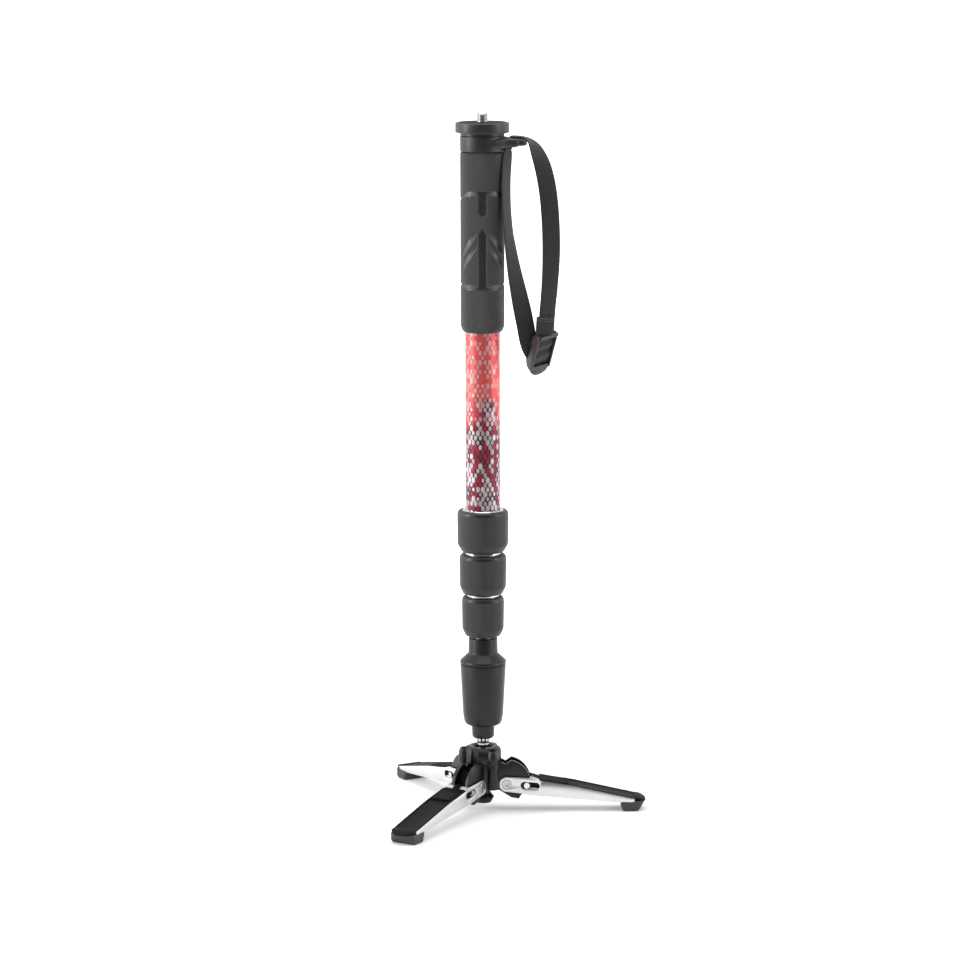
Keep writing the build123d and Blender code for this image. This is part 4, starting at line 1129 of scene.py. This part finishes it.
hub_screw_shapes = []
for turn in (60, 180, 300):
    head = socket_head(2.6, 49.6, 51.8, 1.4, 1.3)
    shank = turned([(0.01, 33.5), (1.6, 33.5), (1.6, 49.8), (0.01, 49.8)], 24)
    hub_screw_shapes.append(moved(joined([head, shank]), spun(turn) @ shifted(16.2, 0, 0)))
place_piece(joined(hub_screw_shapes), "hub_cap_screws", "hub", bright_steel, ["hub_screws"])

for number in (1, 2, 3):
    leg, slider = f"leg_{number}", f"slider_{number}"
    dress_leg(number, leg, slider)
    dress(bright_steel, f"leg_{number}_latch_studs")
    dress(nylon, f"leg_{number}_washers")
    place = spun(120 * (number - 1)) @ shifted(PIVOT_REACH, 0, PIVOT_HEIGHT)
    halves = [moved(socket_head(4.1, 9.7, 11.2, 1.9, 1.1), place @ spun(way, "X")) for way in (90, -90)]
    pin = moved(turned([(0.01, -9.8), (2.5, -9.8), (2.5, 9.8), (0.01, 9.8)], 32), place @ spun(90, "X"))
    place_piece(
        joined(halves + [pin]), f"leg_{number}_pivot_pin", leg, screw_steel,
        [f"leg_{number}_pivot_screw"],
    )


FLOOR_SIZE = 60.0
FLOOR_COLOUR = (0.84, 0.84, 0.84, 1)
FLAG_COLOUR = (0.10, 0.10, 0.10, 1)
PAPER_GLOW = 0.16
MIRRORED_GLOW = 0.3
WHITE = (1, 1, 1, 1)


def make_floor():
    """White paper: its glow grows with distance, and a dark flag lies before the object, out of view."""
    mesh = bpy.data.meshes.new("floor")
    shape = bmesh.new()
    bmesh.ops.create_grid(shape, x_segments=1, y_segments=1, size=FLOOR_SIZE / 2)
    shape.to_mesh(mesh)
    shape.free()
    floor = bpy.data.objects.new("floor", mesh)
    bpy.context.scene.collection.objects.link(floor)
    material = bpy.data.materials.new("pale floor")
    material.use_nodes = True
    tree = material.node_tree
    tree.nodes.clear()
    w = Wiring(tree)
    rays = w.add("LightPath").outputs
    place = w.add("TexCoord").outputs["Object"]
    parts = w.add("SeparateXYZ", [place]).outputs
    reach = w.add("VectorMath", [place], operation="LENGTH").outputs["Value"]
    far = w.ramp(reach, 0.25, 1.1)
    before = w.ramp(w.math("MULTIPLY", parts[1], -1.0), 0.45, 1.0)
    hidden = w.math("MULTIPLY", before, w.math("SUBTRACT", 1.0, rays["Is Camera Ray"]))
    tone = w.add("Mix", data_type="RGBA")
    tree.links.new(hidden, tone.inputs[0])
    tone.inputs[6].default_value = FLOOR_COLOUR
    tone.inputs[7].default_value = FLAG_COLOUR
    paper = w.add("BsdfDiffuse", {"Color": tone.outputs[2]})
    mirrored = w.math("MULTIPLY", rays["Is Glossy Ray"], MIRRORED_GLOW)
    direct = w.math("MAXIMUM", w.math("MAXIMUM", rays["Is Camera Ray"], rays["Is Transmission Ray"]), mirrored)
    direct = w.math("MULTIPLY", direct, w.math("SUBTRACT", 1.0, hidden))
    strength = w.math("MULTIPLY", direct, w.math("ADD", PAPER_GLOW, far))
    glow = w.add("Emission", {"Color": WHITE, "Strength": strength})
    both = w.add("AddShader", [paper.outputs[0], glow.outputs[0]])
    w.add("OutputMaterial", {"Surface": both.outputs[0]})
    mesh.materials.append(material)


make_floor()


def make_world():
    """A white studio whose viewer's side is dark, so that black parts keep a dark streak."""
    world = bpy.data.worlds.new("studio")
    bpy.context.scene.world = world
    world.use_nodes = True
    tree = world.node_tree
    tree.nodes.clear()
    w = Wiring(tree)
    rays = w.add("LightPath").outputs
    shown = w.math("MAXIMUM", rays["Is Camera Ray"], rays["Is Transmission Ray"])
    way = w.add("TexCoord").outputs["Generated"]
    parts = w.add("SeparateXYZ", [way]).outputs
    left = w.math("MULTIPLY", w.ramp(w.math("MULTIPLY", parts[0], -1.0), 0.45, 0.85), 2.1)
    right = w.math("MULTIPLY", w.ramp(parts[0], 0.5, 0.88), 1.6)
    behind = w.ramp(parts[1], -0.05, 0.45)
    above = w.math("MULTIPLY", w.ramp(parts[2], 0.35, 0.8), 0.9)
    level = w.math("MAXIMUM", w.math("MAXIMUM", left, right), w.math("MAXIMUM", behind, above))
    level = w.math("ADD", w.math("MULTIPLY", level, 0.97), 0.03)
    seen = w.add("Background", {"Color": WHITE, "Strength": 1.0})
    soft = w.add("Background", {"Color": WHITE, "Strength": level})
    both = w.add("MixShader", [shown, soft.outputs[0], seen.outputs[0]])
    w.add("OutputWorld", {"Surface": both.outputs[0]})


make_world()


def make_lamp(name, place, target, width, height, power):
    data = bpy.data.lights.new(name, "AREA")
    data.shape = "RECTANGLE"
    data.size = width
    data.size_y = height
    data.energy = power
    lamp = bpy.data.objects.new(name, data)
    bpy.context.scene.collection.objects.link(lamp)
    lamp.location = place
    lamp.rotation_euler = (Vector(target) - Vector(place)).to_track_quat("-Z", "Y").to_euler()
    return lamp


make_lamp("left softbox", (-2.35, -0.62, 0.9), (0, 0, 0.3), 0.7, 2.2, 32)
make_lamp("right softbox", (2.3, -0.7, 0.9), (0, 0, 0.3), 0.5, 2.2, 12)
make_lamp("top softbox", (0, 0.2, 3.0), (0, 0, 0), 2.4, 2.4, 40)

bpy.context.scene.view_settings.view_transform = "Standard"
